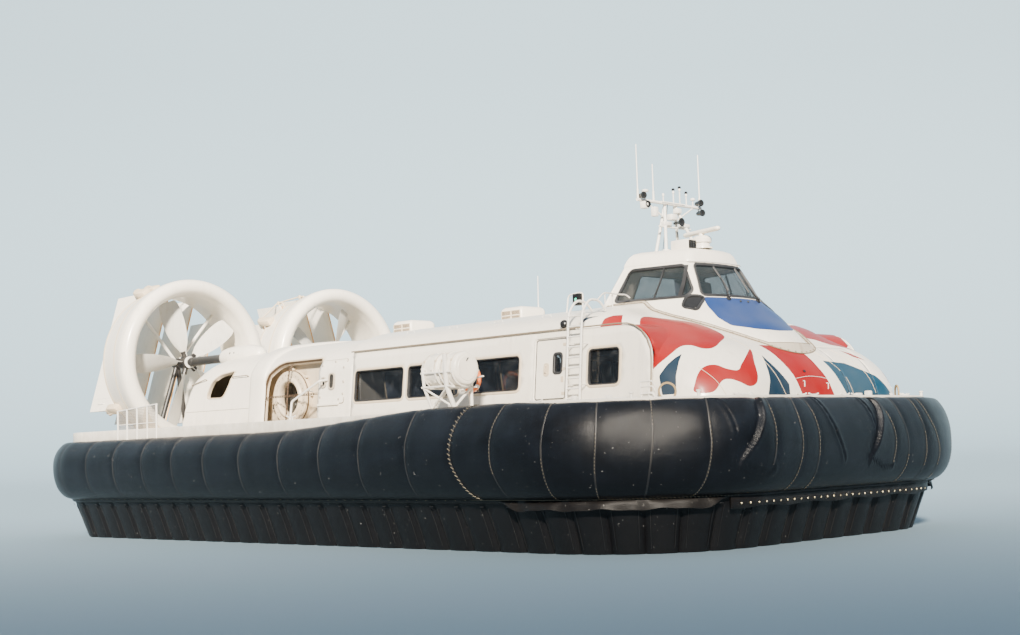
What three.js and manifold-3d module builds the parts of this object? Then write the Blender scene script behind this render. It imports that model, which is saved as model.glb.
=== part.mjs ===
// Passenger hovercraft with an inflated skirt, two ducted propellers and a raised wheelhouse.
// Millimetres. +X forward, +Y to port, +Z up. The floor is z = 0, the middle of the craft is x = y = 0.
import * as THREE from 'three';
import { mergeVertices } from 'three/addons/utils/BufferGeometryUtils.js';
import Module from 'manifold-3d';

const wasm = await Module();
wasm.setup();

// Driving dimensions
const seat = 0.3;               // gap between pieces that touch
const craft = { halfLength: 11850, halfBeam: 6350, bowRadius: 3650, sternRadius: 2560 };
const deckZ = 2900;
const flangeDepth = 100;
const hullBottomZ = 1450;
const hullSideInset = 90;       // hull side behind the flange edge
const hullBottomInset = 1050;
const hullChineDrop = 500;      // hull side below the deck, before it slopes in
const bagOut = 560;             // how far the bag stands outside the deck edge
const seamZ = 1050;             // seam between bag and fingers
const finger = { count: 84, hemIn: 400, innerTop: 340, innerHem: 560, depth: 110 };
const wall = { footY: 3880, topY: 3700, topZ: 4550, thick: 50, frontX: 9520, cornerR: 760 };
const roofThick = 50;
const bay = { aftX: -4100, foreX: 80, thick: 50 };
const cowl = { aftX: -7430, foreX: -4101, innerY: 1400, thick: 50 };
const roofFrontX = 7400;
const duct = {
  lipX: -8560, y: 2640, z: 4880, throat: 1950, lipRadius: 220, outer: 2390, exitX: -10000, exitOuter: 2110,
};
const fence = { y: -4400, x0: -9830, x1: -8380, bars: 4 };   // guard below the duct, starboard
const prop = { x: -8950, radius: 1850, hubRadius: 190, hubLength: 420, blades: 5 };
const rudder = {
  pivotX: -10200, noseX: -10080, tailX: -11400, offsets: [-1310, -437, 437, 1310], splay: 16, thick: 90, circle: 2200,
};
const fan = { x: -2850, z: 3560, y: 2800, radius: 620, width: 420, blades: 9 };
const doorSize = { x0: 6300, x1: 7200, z0: 3080, z1: 4380, gap: 8 };
const windowZ = { low: 3310, high: 4050 };
const sideWindows = [[320, 1970], [2230, 3880], [4140, 5700]];
const foreWindow = [7920, 8520];

// Solids: closed geometry in, closed geometry out
function solidOf(geometry) {
  const bare = geometry.clone();
  for (const name of ['normal', 'uv']) bare.deleteAttribute(name);
  const merged = mergeVertices(bare, 1e-4);
  const manifold = (triVerts) => new wasm.Manifold(new wasm.Mesh({
    numProp: 3,
    vertProperties: new Float32Array(merged.attributes.position.array),
    triVerts: new Uint32Array(triVerts),
  }));
  const solid = manifold(merged.index.array);
  return solid.volume() < 0 ? manifold(Array.from(merged.index.array).reverse()) : solid;
}

function geometryOf(solid) {
  const mesh = solid.getMesh();
  const geometry = new THREE.BufferGeometry();
  geometry.setAttribute('position', new THREE.BufferAttribute(new Float32Array(mesh.vertProperties), 3));
  geometry.setIndex(new THREE.BufferAttribute(new Uint32Array(mesh.triVerts), 1));
  geometry.computeVertexNormals();
  return geometry;
}

function box(x0, x1, y0, y1, z0, z1) {
  const geometry = new THREE.BoxGeometry(x1 - x0, y1 - y0, z1 - z0);
  geometry.translate((x0 + x1) / 2, (y0 + y1) / 2, (z0 + z1) / 2);
  return solidOf(geometry);
}

// A round bar from p to q
function rod(p, q, radius, sides = 5, farRadius = radius) {
  const from = new THREE.Vector3(...p);
  const to = new THREE.Vector3(...q);
  const axis = to.clone().sub(from);
  const geometry = new THREE.CylinderGeometry(farRadius, radius, axis.length(), sides);
  geometry.applyQuaternion(new THREE.Quaternion().setFromUnitVectors(
    new THREE.Vector3(0, 1, 0), axis.clone().normalize()));
  const middle = from.add(to).multiplyScalar(0.5);
  geometry.translate(middle.x, middle.y, middle.z);
  return solidOf(geometry);
}

// A turned form about the X axis through (y, z): profile of [radius, x]
function turnedX(profile, y, z, segments) {
  const geometry = new THREE.LatheGeometry(profile.map(([r, x]) => new THREE.Vector2(r, x)), segments);
  geometry.rotateZ(-Math.PI / 2);
  geometry.translate(0, y, z);
  return solidOf(geometry);
}

// A turned form about the Y axis through (x, z): profile of [radius, y]
function turnedY(profile, x, z, segments) {
  const geometry = new THREE.LatheGeometry(profile.map(([r, y]) => new THREE.Vector2(r, y)), segments);
  geometry.translate(x, 0, z);
  return solidOf(geometry);
}

// A turned form about the Z axis through (x, y): profile of [radius, z]
function turnedZ(profile, x, y, segments) {
  const geometry = new THREE.LatheGeometry(profile.map(([r, z]) => new THREE.Vector2(r, z)), segments);
  geometry.rotateX(Math.PI / 2);
  geometry.translate(x, y, 0);
  return solidOf(geometry);
}

function shapeOf(points) {
  return new THREE.Shape(points.map(([a, b]) => new THREE.Vector2(a, b)));
}

// Plan outline extruded upwards
function plate(points, z0, z1) {
  const geometry = new THREE.ExtrudeGeometry(shapeOf(points), { depth: z1 - z0, bevelEnabled: false });
  geometry.translate(0, 0, z0);
  return solidOf(geometry);
}

// Side profile of [x, z] extruded across, from y0 to y1
function sideBlock(points, y0, y1) {
  const geometry = new THREE.ExtrudeGeometry(shapeOf(points), { depth: y1 - y0, bevelEnabled: false });
  geometry.rotateX(Math.PI / 2);
  geometry.translate(0, y1, 0);
  return solidOf(geometry);
}

// Section of [y, z] extruded along the craft, from x0 to x1
function sectionBlock(points, x0, x1) {
  const geometry = new THREE.ExtrudeGeometry(shapeOf(points), { depth: x1 - x0, bevelEnabled: false });
  geometry.applyMatrix4(new THREE.Matrix4().set(0, 0, 1, x0, 1, 0, 0, 0, 0, 1, 0, 0, 0, 0, 0, 1));
  return solidOf(geometry);
}

// Skin over loops with the same number of points, closed by flat caps unless it joins up with itself
function loft(loops, ring = false) {
  const count = loops[0].length;
  const position = loops.flat(2);
  const index = [];
  const last = ring ? loops.length : loops.length - 1;
  for (let i = 0; i < last; i += 1) {
    const a = i * count;
    const b = ((i + 1) % loops.length) * count;
    for (let j = 0; j < count; j += 1) {
      const k = (j + 1) % count;
      index.push(a + j, a + k, b + k, a + j, b + k, b + j);
    }
  }
  if (!ring) {
    for (const [at, turned] of [[0, true], [loops.length - 1, false]]) {
      const loop = loops[at].map((p) => new THREE.Vector3(...p));
      const flat = flattened(loop);
      for (const [p, q, r] of THREE.ShapeUtils.triangulateShape(flat, [])) {
        const base = at * count;
        index.push(...(turned ? [base + r, base + q, base + p] : [base + p, base + q, base + r]));
      }
    }
  }
  const geometry = new THREE.BufferGeometry();
  geometry.setAttribute('position', new THREE.Float32BufferAttribute(position, 3));
  geometry.setIndex(index);
  return solidOf(geometry);
}

// A planar loop in its own plane's coordinates, for cutting its cap into triangles
function flattened(loop) {
  const normal = new THREE.Vector3();
  for (let i = 0; i < loop.length; i += 1) {
    normal.add(loop[i].clone().cross(loop[(i + 1) % loop.length]));
  }
  normal.normalize();
  const side = loop[1].clone().sub(loop[0]).normalize();
  const up = normal.clone().cross(side);
  return loop.map((p) => new THREE.Vector2(p.dot(side), p.dot(up)));
}

// Mirror to the port side
function toPort(solid) {
  return solid.mirror([0, 1, 0]);
}

// A form made truly alike on both sides from its starboard half
function evened(solid) {
  const half = solid.intersect(box(-20000, 20000, -9000, 0, -100, 12000));
  return half.add(toPort(half));
}

// Rounded plan of the craft: [x, y, outward normal x, outward normal y] all round from the stern, port side last
function planStations(inset, turns, sideSteps, endSteps) {
  const stations = [];
  const bow = craft.bowRadius;
  const stern = craft.sternRadius;
  const L = craft.halfLength;
  const B = craft.halfBeam;
  const corners = [
    // centre x, centre y, radius, first angle
    [-L + stern, -B + stern, stern, Math.PI],
    [L - bow, -B + bow, bow, 1.5 * Math.PI],
    [L - bow, B - bow, bow, 0],
    [-L + stern, B - stern, stern, 0.5 * Math.PI],
  ];
  corners.forEach(([cx, cy, r, start], corner) => {
    for (let i = 0; i <= turns; i += 1) {
      const angle = start + (i / turns) * Math.PI / 2;
      const [nx, ny] = [Math.cos(angle), Math.sin(angle)];
      stations.push([cx + (r - inset) * nx, cy + (r - inset) * ny, nx, ny]);
    }
    const [ax, ay, nx, ny] = stations[stations.length - 1];
    const next = corners[(corner + 1) % 4];
    const bx = next[0] + (next[2] - inset) * Math.cos(next[3]);
    const by = next[1] + (next[2] - inset) * Math.sin(next[3]);
    const steps = corner % 2 === 0 ? sideSteps : endSteps;
    for (let i = 1; i < steps; i += 1) {
      const t = i / steps;
      stations.push([ax + (bx - ax) * t, ay + (by - ay) * t, nx, ny]);
    }
  });
  return stations;
}

const cornerSteps = 7;
const edgeStations = planStations(bagOut, cornerSteps, 4, 2);   // along the deck edge

function planOutline(inset) {
  return planStations(bagOut + inset, cornerSteps, 1, 1).map(([x, y]) => [x, y]);
}

function loopAt(points, z) {
  return points.map(([x, y]) => [x, y, z]);
}

// Hull
function buildHull() {
  const flange = plate(planOutline(0), deckZ - flangeDepth, deckZ);
  const raft = loft([
    loopAt(planOutline(hullBottomInset), hullBottomZ),
    loopAt(planOutline(hullSideInset), deckZ - hullChineDrop),
    loopAt(planOutline(hullSideInset), deckZ - flangeDepth / 2),
  ]);
  let hull = flange.add(raft);
  for (const side of [-1, 1]) {
    const well = rod([duct.exitX - 60, side * duct.y, duct.z], [duct.lipX + 320, side * duct.y, duct.z],
      duct.outer + 12, 32);
    hull = hull.subtract(well);
  }
  for (const x of [-7200, 0, 7200]) {
    for (const y of [-3000, 3000]) hull = hull.add(box(x - 600, x + 600, y - 250, y + 250, hullBottomZ - 150, hullBottomZ + 10));
  }
  return hull;
}

// Section of the bag at one station, [outwards, z], from the deck edge round to the seam
function bagSection(rise) {
  const outer = [
    [seat, deckZ - flangeDepth - seat], [8, deckZ - 60 + rise * 0.6], [150, deckZ + rise], [300, deckZ - 70 + rise * 0.6],
    [450, deckZ - 290], [bagOut, 2150], [545, 1720], [440, 1370], [250, 1130], [0, seamZ],
  ];
  const slope = (hullBottomInset - hullSideInset) / (deckZ - hullChineDrop - hullBottomZ);
  const low = 1620;
  const lowN = -hullSideInset - slope * (deckZ - hullChineDrop - low);
  const inner = [[-480, seamZ], [lowN + 1, low], [-hullSideInset + seat, deckZ - hullChineDrop - 1],
    [-hullSideInset + seat, deckZ - flangeDepth - 40]];
  return outer.concat(inner);
}

function sweepLoops(stations, sectionAt) {
  return stations.map(([x, y, nx, ny], i) => sectionAt(x, i).map(([n, z]) => [x + nx * n, y + ny * n, z]));
}

// Stations from amidships to amidships, round the bow or round the stern
function halfStations(stations, fore) {
  const side = fore ? 1 : -1;
  const firstFore = stations.findIndex(([x]) => x > 60);
  const pastFore = stations.findLastIndex(([x]) => x > 60) + 1;
  const inOrder = fore ? stations : [...stations.slice(pastFore), ...stations.slice(0, firstFore)];
  const kept = inOrder.filter(([x]) => x * side > 60);
  const edgeY = Math.max(...kept.map(([, y]) => y));
  const starboard = [side * seat / 2, -edgeY, 0, -1];
  const port = [side * seat / 2, edgeY, 0, 1];
  return fore ? [starboard, ...kept, port] : [port, ...kept, starboard];
}

function buildBag(fore) {
  const rise = (x) => 60 - 110 * THREE.MathUtils.smoothstep(x, 4000, 9500);
  return loft(sweepLoops(halfStations(edgeStations, fore), (x) => bagSection(rise(x))));
}

// Fingers: corrugated wall below the bag
function buildFingers(fore) {
  const path = halfStations(planStations(bagOut, 16, 16, 8), fore);
  const stations = resampled(path, finger.count / 2);
  const sections = stations.map(([x, y, nx, ny, groove]) => {
    const dip = groove ? finger.depth : 0;
    return [
      [-20 - dip * 0.5, seamZ - seat], [-finger.hemIn * 0.5 - dip, 520], [-finger.hemIn - dip, 0],
      [-finger.innerHem - finger.depth, 0], [-finger.innerTop - finger.depth, seamZ - seat],
    ].map(([n, z]) => [x + nx * n, y + ny * n, z]);
  });
  return loft(sections);
}

// Even finger pitch along a path: each finger has a groove and two ridge stations
function resampled(path, count) {
  const lengths = [0];
  for (let i = 1; i < path.length; i += 1) {
    lengths.push(lengths[i - 1] + Math.hypot(path[i][0] - path[i - 1][0], path[i][1] - path[i - 1][1]));
  }
  const total = lengths[lengths.length - 1];
  const out = [];
  for (let f = 0; f < count; f += 1) {
    for (const [t, groove] of [[0, true], [0.5, false]]) {
      out.push([...pointAlong(path, lengths, ((f + t) / count) * total), groove]);
    }
  }
  out.push([...pointAlong(path, lengths, total), true]);
  return out;
}

function pointAlong(path, lengths, s) {
  let i = 1;
  while (i < path.length - 1 && lengths[i] < s) i += 1;
  const t = (s - lengths[i - 1]) / (lengths[i] - lengths[i - 1] || 1);
  return path[i].map((v, k) => path[i - 1][k] + (v - path[i - 1][k]) * t);
}

// Half width of a leaning side wall at a height
function wallY(z) {
  return wall.footY + (wall.topY - wall.footY) * (z - deckZ) / (wall.topZ - deckZ);
}

// Roof crown of [y, z] from the wall top to the centreline, lowered by inset
const roofLine = [[3720, 4550], [3450, 4780], [3000, 4950], [2400, 5070], [1200, 5200], [0, 5250]];

function roofSection(inset) {
  const half = roofLine.map(([y, z]) => [Math.max(0, y - inset * (y > 2900 ? 1 : 0)), z - inset * (y > 2900 ? 0.55 : 1)]);
  const other = half.slice(0, -1).reverse().map(([y, z]) => [-y, z]);
  return half.concat(other);
}

function buildRoof() {
  const outer = roofSection(0);
  const inner = roofSection(roofThick).reverse();
  return sectionBlock(outer.concat(inner), bay.foreX + seat, roofFrontX);
}

function roundedHole(x0, x1, z0, z1, r) {
  const path = new THREE.Path();
  path.moveTo(x0 + r, z0);
  path.lineTo(x1 - r, z0);
  path.absarc(x1 - r, z0 + r, r, -Math.PI / 2, 0);
  path.lineTo(x1, z1 - r);
  path.absarc(x1 - r, z1 - r, r, 0, Math.PI / 2);
  path.lineTo(x0 + r, z1);
  path.absarc(x0 + r, z1 - r, r, Math.PI / 2, Math.PI);
  path.lineTo(x0, z0 + r);
  path.absarc(x0 + r, z0 + r, r, Math.PI, 1.5 * Math.PI);
  return path;
}

// Straight plate drawn upright as [x, z] and leant over on the starboard wall, inset from its outer face
function onWall(shape, thick, inset) {
  const geometry = new THREE.ExtrudeGeometry(shape, { depth: thick, bevelEnabled: false, curveSegments: 2 });
  geometry.rotateX(Math.PI / 2);
  geometry.translate(0, inset + thick, -deckZ);
  const lean = Math.atan2(wall.footY - wall.topY, wall.topZ - deckZ);
  geometry.rotateX(-lean);
  geometry.translate(0, -wall.footY, deckZ + seat);
  return solidOf(geometry);
}

function wallShape() {
  const shape = new THREE.Shape();
  const top = wall.topZ - 20;
  shape.moveTo(bay.foreX + seat, deckZ + 6);
  shape.lineTo(wall.frontX, deckZ + 6);
  shape.lineTo(wall.frontX, top - wall.cornerR);
  shape.absarc(wall.frontX - wall.cornerR, top - wall.cornerR, wall.cornerR, 0, Math.PI / 2);
  shape.lineTo(bay.foreX + seat, top);
  return shape;
}

// Hinges inside the wall on the side door's forward edge: the middle barrel is the leaf's
const hinge = { x: doorSize.x1 + 4, inset: wall.thick + 20, radius: 14, heights: [3280, 4180], half: 50, cheek: 60 };

function leant(solid) {
  const lean = Math.atan2(wall.footY - wall.topY, wall.topZ - deckZ) * 180 / Math.PI;
  return solid.translate([0, 0, -deckZ]).rotate([-lean, 0, 0]).translate([0, -wall.footY, deckZ + seat]);
}

// One barrel with its tab, upright, from z0 to z1, reaching towards x
function hingeBarrel(z0, z1, toX) {
  const tab = box(Math.min(hinge.x, toX), Math.max(hinge.x, toX), wall.thick - 2, hinge.inset, z0, z1);
  return rod([hinge.x, hinge.inset, z0], [hinge.x, hinge.inset, z1], hinge.radius, 8).add(tab);
}

function doorBarrels() {
  const parts = hinge.heights.map((z) => hingeBarrel(z - hinge.half, z + hinge.half, doorSize.x1 - 70));
  return leant(parts[0].add(parts[1]));
}

function wallBarrels() {
  let all = null;
  for (const z of hinge.heights) {
    for (const side of [-1, 1]) {
      const near = z + side * (hinge.half + seat);
      const far = near + side * hinge.cheek;
      const barrel = hingeBarrel(Math.min(near, far), Math.max(near, far), doorSize.x1 + 90);
      all = all ? all.add(barrel) : barrel;
    }
  }
  return leant(all);
}

function buildWall() {
  const shape = wallShape();
  for (const [x0, x1] of [...sideWindows, foreWindow]) {
    shape.holes.push(roundedHole(x0, x1, windowZ.low, windowZ.high, 90));
  }
  const { x0, x1, z0, z1, gap } = doorSize;
  shape.holes.push(roundedHole(x0 - gap, x1 + gap, z0 - gap, z1 + gap, 80));
  return onWall(shape, wall.thick, 0).add(wallBarrels());
}

function panel(x0, x1, z0, z1, r) {
  return new THREE.Shape(roundedHole(x0, x1, z0, z1, r).getPoints(2));
}

function buildGlassStrip(windows) {
  const x0 = windows[0][0] - 60;
  const x1 = windows[windows.length - 1][1] + 60;
  return onWall(panel(x0, x1, windowZ.low - 60, windowZ.high + 60, 90), 8, wall.thick + seat);
}

function buildSideDoor() {
  const { x0, x1, z0, z1 } = doorSize;
  const leaf = panel(x0, x1, z0, z1, 72);
  leaf.holes.push(roundedHole(x0 + 540, x0 + 760, 3640, 4050, 60));
  return onWall(leaf, wall.thick, 0).add(doorBarrels());
}

// Bow dome: level outlines of [z, front x, half width, corner radius]
const domeLevels = [
  [2900.5, 11080, 3790, 1550], [3350, 10960, 3785, 1650], [3700, 10720, 3765, 1750], [4000, 10350, 3730, 1850],
  [4220, 9920, 3690, 2000], [4450, 9420, 3650, 1900], [4600, 9020, 3580, 1500], [4780, 8400, 3450, 950],
  [4950, 7900, 3000, 450], [5070, 7700, 2400, 260], [5200, 7560, 1200, 120], [5249, 7500, 60, 50],
];

function domeLoft(inset, aftX) {
  const steps = 6;
  const loops = domeLevels.map(([z, front, half, radius]) => {
    const r = Math.max(30, radius - inset);
    const f = front - inset;
    const w = Math.max(40, half - inset);
    const loop = [[aftX, -w]];
    for (let i = 0; i <= steps; i += 1) {
      const a = -Math.PI / 2 + (i / steps) * Math.PI / 2;
      loop.push([f - r + r * Math.cos(a), -w + r + r * Math.sin(a)]);
    }
    for (let i = 0; i <= steps; i += 1) {
      const a = (i / steps) * Math.PI / 2;
      loop.push([f - r + r * Math.cos(a), w - r + r * Math.sin(a)]);
    }
    loop.push([aftX, w]);
    return loop.map(([x, y]) => [x, y, z - (inset ? inset * 0.8 : 0)]);
  });
  return loft(loops);
}

// Shoulder behind the wall's round front corner, [x, z]
function shoulder(inset) {
  const r = wall.cornerR;
  const top = wall.topZ - 20 - inset;
  const front = wall.frontX - inset;
  const points = [[roofFrontX - 50, deckZ + 0.5 - inset], [front, deckZ + 0.5 - inset]];
  for (let i = 0; i <= 6; i += 1) {
    const a = (i / 6) * Math.PI / 2;
    points.push([front - r + r * Math.cos(a), top - r + r * Math.sin(a)]);
  }
  points.push([roofFrontX - 50, top]);
  return sideBlock(points, -3640 + inset, 3640 - inset);
}

// Bow door in the port half of the dome, hinged along its top edge
const bowDoor = { y0: 900, y1: 2000, z0: 2975, z1: 4060, x0: 9900, gap: 8, hingeX: 10212, hingeZ: 4093 };

function buildDome() {
  const outer = evened(domeLoft(0, roofFrontX - 50).add(shoulder(0)));
  const inner = evened(domeLoft(60, roofFrontX - 300).add(shoulder(60)));
  const fore = box(roofFrontX + seat, 12000, -5000, 5000, deckZ + 0.4, 6000);
  const wallSpace = box(roofFrontX, wall.frontX + 6, 3570, 5000, deckZ - 100, wall.topZ - 30);
  const hatch = box(7600, 9300, -900, 900, 4000, 5600);
  const { gap } = bowDoor;
  const doorway = box(bowDoor.x0, 11500, bowDoor.y0 - gap, bowDoor.y1 + gap, bowDoor.z0 - gap, bowDoor.z1 + gap);
  return outer.intersect(fore).subtract(inner).subtract(wallSpace).subtract(toPort(wallSpace))
    .subtract(hatch).subtract(doorway).add(bowBarrels(true));
}

function buildBowDoor() {
  const outer = evened(domeLoft(0, roofFrontX - 50));
  const inner = evened(domeLoft(60, roofFrontX - 300));
  return outer.subtract(inner).intersect(
    box(bowDoor.x0 + 8, 11500, bowDoor.y0, bowDoor.y1, bowDoor.z0, bowDoor.z1)).add(bowBarrels(false));
}

// Hinge barrels above the bow door; the middle barrels are the door's
function bowBarrels(onDome) {
  const { hingeX: x, hingeZ: z } = bowDoor;
  let all = null;
  for (const y of [1120, 1780]) {
    const spans = onDome ? [[y + 50 + seat, y + 110], [y - 110, y - 50 - seat]] : [[y - 50, y + 50]];
    for (const [y0, y1] of spans) {
      const tab = onDome
        ? sideBlock([[x - 4, z - 12], [x + 6, z + 10], [x - 165, z + 79], [x - 182, z + 57]], y0, y1)
        : sideBlock([[x + 6, z + 8], [x - 6, z - 8], [x + 88, z - 81], [x + 106, z - 63]], y0, y1);
      const barrel = rod([x, y0, z], [x, y1, z], 14, 8).add(tab);
      all = all ? all.add(barrel) : barrel;
    }
  }
  return all;
}

// Wheelhouse plan at each level: z and the half outline of [x, y] from the aft corner to the tip
const houseLevels = [
  [4000, [[6300, 2300], [9150, 1720], [9560, 1500], [9900, 1180], [10130, 930], [10330, 650], [10440, 340], [10480, 0]]],
  [4400, [[6380, 2180], [9080, 1640], [9340, 1480], [9550, 1250], [9740, 1000], [9880, 700], [9955, 370], [9980, 0]]],
  [4800, [[6460, 2000], [8950, 1470], [9100, 1350], [9200, 1180], [9285, 930], [9340, 620], [9370, 320], [9380, 0]]],
  [5210, [[6560, 1790], [8560, 1260], [8680, 1180], [8760, 1050], [8850, 800], [8910, 520], [8948, 270], [8960, 0]]],
  [6050, [[6800, 1320], [8150, 960], [8250, 915], [8320, 830], [8368, 640], [8400, 420], [8423, 210], [8430, 0]]],
];

function fullOutline(half, inset) {
  const port = half.map(([x, y]) => [x, y]);
  const starboard = half.slice(0, -1).reverse().map(([x, y]) => [x, -y]);
  return insetLoop(port.concat(starboard), inset);
}

// Loop moved inwards by a distance along its corner normals
function insetLoop(loop, distance) {
  if (!distance) return loop;
  const area = loop.reduce((sum, [x, y], i) => {
    const [u, v] = loop[(i + 1) % loop.length];
    return sum + x * v - u * y;
  }, 0);
  const sign = Math.sign(area);
  return loop.map(([x, y], i) => {
    const [ax, ay] = loop[(i + loop.length - 1) % loop.length];
    const [bx, by] = loop[(i + 1) % loop.length];
    const p = new THREE.Vector2(x - ax, y - ay).normalize();
    const q = new THREE.Vector2(bx - x, by - y).normalize();
    const n = new THREE.Vector2(-(p.y + q.y), p.x + q.x).normalize();
    const reach = distance / Math.max(0.5, n.dot(new THREE.Vector2(-p.y, p.x)));
    return [x + sign * n.x * reach, y + sign * n.y * reach];
  });
}

function houseLoft() {
  return loft(houseLevels.map(([z, half]) => loopAt(fullOutline(half, 0), z)));
}

const houseGlass = {
  // window outlines: side as [x, z], front as [y, z]
  side: [[6830, 5230], [8500, 5230], [8170, 5960], [6990, 5960]],
  front: [[-960, 5260], [960, 5260], [770, 5980], [-770, 5980]],
  rear: [[-900, 5300], [900, 5300], [760, 5900], [-760, 5900]],
};

function roofCover() {
  const roof = sectionBlock(roofSection(0), 0, roofFrontX + 10);
  const cabin = box(0, 9200, -3600, 3600, 3900, 4600);
  return evened(roof.add(domeLoft(0, roofFrontX - 50)).add(shoulder(0)).add(cabin)).translate([0, 0, seat]);
}

function buildHouse() {
  const walls = evened(houseLoft()).subtract(evened(loft(houseLevels.map(([z, half], i) => loopAt(
    fullOutline(half, 50), i === 0 ? z - 20 : i === houseLevels.length - 1 ? z + 20 : z)))));
  const side = sideBlock(houseGlass.side, -2500, 0);
  const front = sectionBlock(houseGlass.front, 8000, 9200);
  const rear = sectionBlock(houseGlass.rear, 6300, 7000);
  return walls.subtract(side).subtract(toPort(side)).subtract(front).subtract(rear).subtract(roofCover());
}

// Glass just inside the wheelhouse wall, from the same loft
function housePane(cutter) {
  const outer = loft(houseLevels.map(([z, half]) => loopAt(fullOutline(half, 50 + seat), z)));
  const inner = loft(houseLevels.map(([z, half], i) => loopAt(
    fullOutline(half, 60), i === 0 ? z - 20 : i === houseLevels.length - 1 ? z + 20 : z)));
  return evened(outer).subtract(evened(inner)).intersect(cutter);
}

function buildHouseRoof() {
  const top = houseLevels[houseLevels.length - 1][1];
  const outline = (scale) => fullOutline(top, 0).map(([x, y]) => [7620 + (x - 7620) * scale, y * scale]);
  return loft([loopAt(outline(1.03), 6050 + seat), loopAt(outline(1.03), 6110), loopAt(outline(0.9), 6270),
    loopAt(outline(0.55), 6410)]);
}

// Desk, crew seats and their platform inside the wheelhouse
function buildHelm() {
  let helm = box(7620, 9080, -880, 880, 4760, 4820);
  helm = helm.add(box(8350, 8700, -850, 850, 4815, 5180));
  for (const [x, y] of [[7700, -800], [7700, 800], [9000, -800], [9000, 800]]) {
    helm = helm.add(rod([x, y, deckZ + seat], [x, y, 4770], 40));
  }
  for (const y of [-450, 450]) {
    helm = helm.add(rod([7950, y, 4815], [7950, y, 5050], 60));
    helm = helm.add(box(7720, 8180, y - 240, y + 240, 5040, 5150));
    helm = helm.add(box(7640, 7740, y - 230, y + 230, 5100, 5750));
  }
  return helm;
}

// Lift fan bay: leaning outer wall, round shoulder and top
function machinerySection(inset, innerY) {
  const o = inset;
  return [
    [innerY + o, deckZ + 0.4 - (o ? 20 : 0)], [innerY + o, 4860 - o], [2500, 4900 - o], [3050, 4800 - o],
    [3480 - o * 0.7, 4560 - o * 0.7], [wallY(4200) - o, 4200], [wallY(deckZ) - 20 - o, deckZ + 0.4 - (o ? 20 : 0)],
  ];
}

// The lift bay carries on the roof's line
function baySection(inset, innerY) {
  const o = inset;
  const top = [[1200, 5090 - o], [2400, 4970 - o], [3000, 4840 - o]].filter(([y]) => y > innerY + 100);
  return [
    [innerY + o, deckZ + 0.4 - (o ? 20 : 0)], [innerY + o, 5130 - o], ...top,
    [3480 - o * 0.7, 4560 - o * 0.7], [wallY(4200) - o, 4200], [wallY(deckZ) - 20 - o, deckZ + 0.4 - (o ? 20 : 0)],
  ];
}

function starboardSection(points) {
  return points.map(([y, z]) => [-y, z]).reverse();
}

function buildBay() {
  const outer = sectionBlock(starboardSection(baySection(0, 0.2)), bay.aftX, bay.foreX);
  const inner = sectionBlock(starboardSection(baySection(bay.thick, 0.2)), bay.aftX + 50, bay.foreX - 50);
  const band = sectionBlock(starboardSection(baySection(-40, 1500)), bay.aftX, bay.aftX + 700)
    .subtract(sectionBlock(starboardSection(baySection(20, 1500)), bay.aftX - 10, bay.aftX + 710))
    .intersect(box(bay.aftX, 0, -5000, -1540, deckZ + 0.4, 6000));
  const inletWall = box(bay.aftX + 30, bay.foreX - 30, -3330, -3270, deckZ + 0.4, 4700)
    .intersect(outer)
    .subtract(rod([fan.x, -3400, fan.z], [fan.x, -3200, fan.z], 460, 24));
  const mouth = turnedY([[460, -3300], [510, -3380], [575, -3420], [630, -3400], [652, -3330], [645, -3280], [470, -3280],
    [460, -3300]], fan.x, fan.z, 24);
  const back = -fan.y + fan.width / 2;
  const partition = box(bay.aftX + 30, bay.foreX - 30, back + 80, back + 120, deckZ + 0.4, 4890);
  const boss = rod([fan.x, back + seat, fan.z], [fan.x, back + 100, fan.z], 110, 12);
  const house = outer.subtract(inner).add(band).subtract(openingBlock()).add(inletWall).add(mouth)
    .add(partition).add(boss).add(grilleBars());
  return house.subtract(box(-5000, 0, -1, 5000, 0, 6000));
}

function openingBlock() {
  const r = 700;
  const points = [[-3300, deckZ + 60], [-1250, deckZ + 60], [-1250, 4380]];
  for (let i = 0; i <= 4; i += 1) {
    const a = Math.PI / 2 + (i / 4) * Math.PI / 2;
    points.push([-3300 + r + r * Math.cos(a), 4380 - r + r * Math.sin(a)]);
  }
  return sideBlock(points, -4200, -3420);
}

function grilleBars() {
  const y = -3745;
  let bars = rod([-3320, y, 3620], [-1230, y, 3620], 14, 6);
  bars = bars.add(rod([-2620, y - 20, deckZ + 30], [-2620, y - 20, 3900], 14, 6));
  return bars.add(rod([-2620, y - 20, 3890], [-2620, -3640, 4400], 14, 6));
}

function buildFan() {
  const near = -fan.y - fan.width / 2;
  const far = -fan.y + fan.width / 2;
  let rotor = turnedY([[0, far], [fan.radius, far], [fan.radius, far - 20], [150, far - 20], [110, near + 120],
    [0, near + 60]], fan.x, fan.z, 16);
  for (let i = 0; i < fan.blades; i += 1) {
    const blade = box(140, fan.radius - 5, near, far - 10, -9, 9)
      .rotate([0, (360 * i) / fan.blades, 0]).translate([fan.x, 0, fan.z]);
    rotor = rotor.add(blade);
  }
  const shroud = turnedY([[430, near - 14], [fan.radius, near - 14], [fan.radius, near + 6], [430, near + 6],
    [430, near - 14]], fan.x, fan.z, 16);
  return rotor.add(shroud);
}

// Engine cowl: the bay's section with a round aft end
function cowlProfile(inset) {
  const points = [[cowl.foreX + (inset ? 60 : 0), deckZ + 0.4 - (inset ? 20 : 0)], [cowl.foreX + (inset ? 60 : 0), 5200]];
  points.push([-5700, 5200], [-6000 + inset, 4890], [-6500 + inset, 4740], [-6900 + inset, 4430], [-7150 + inset, 4050],
    [cowl.aftX + inset, deckZ + 0.4 - (inset ? 20 : 0)]);
  return points;
}

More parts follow.
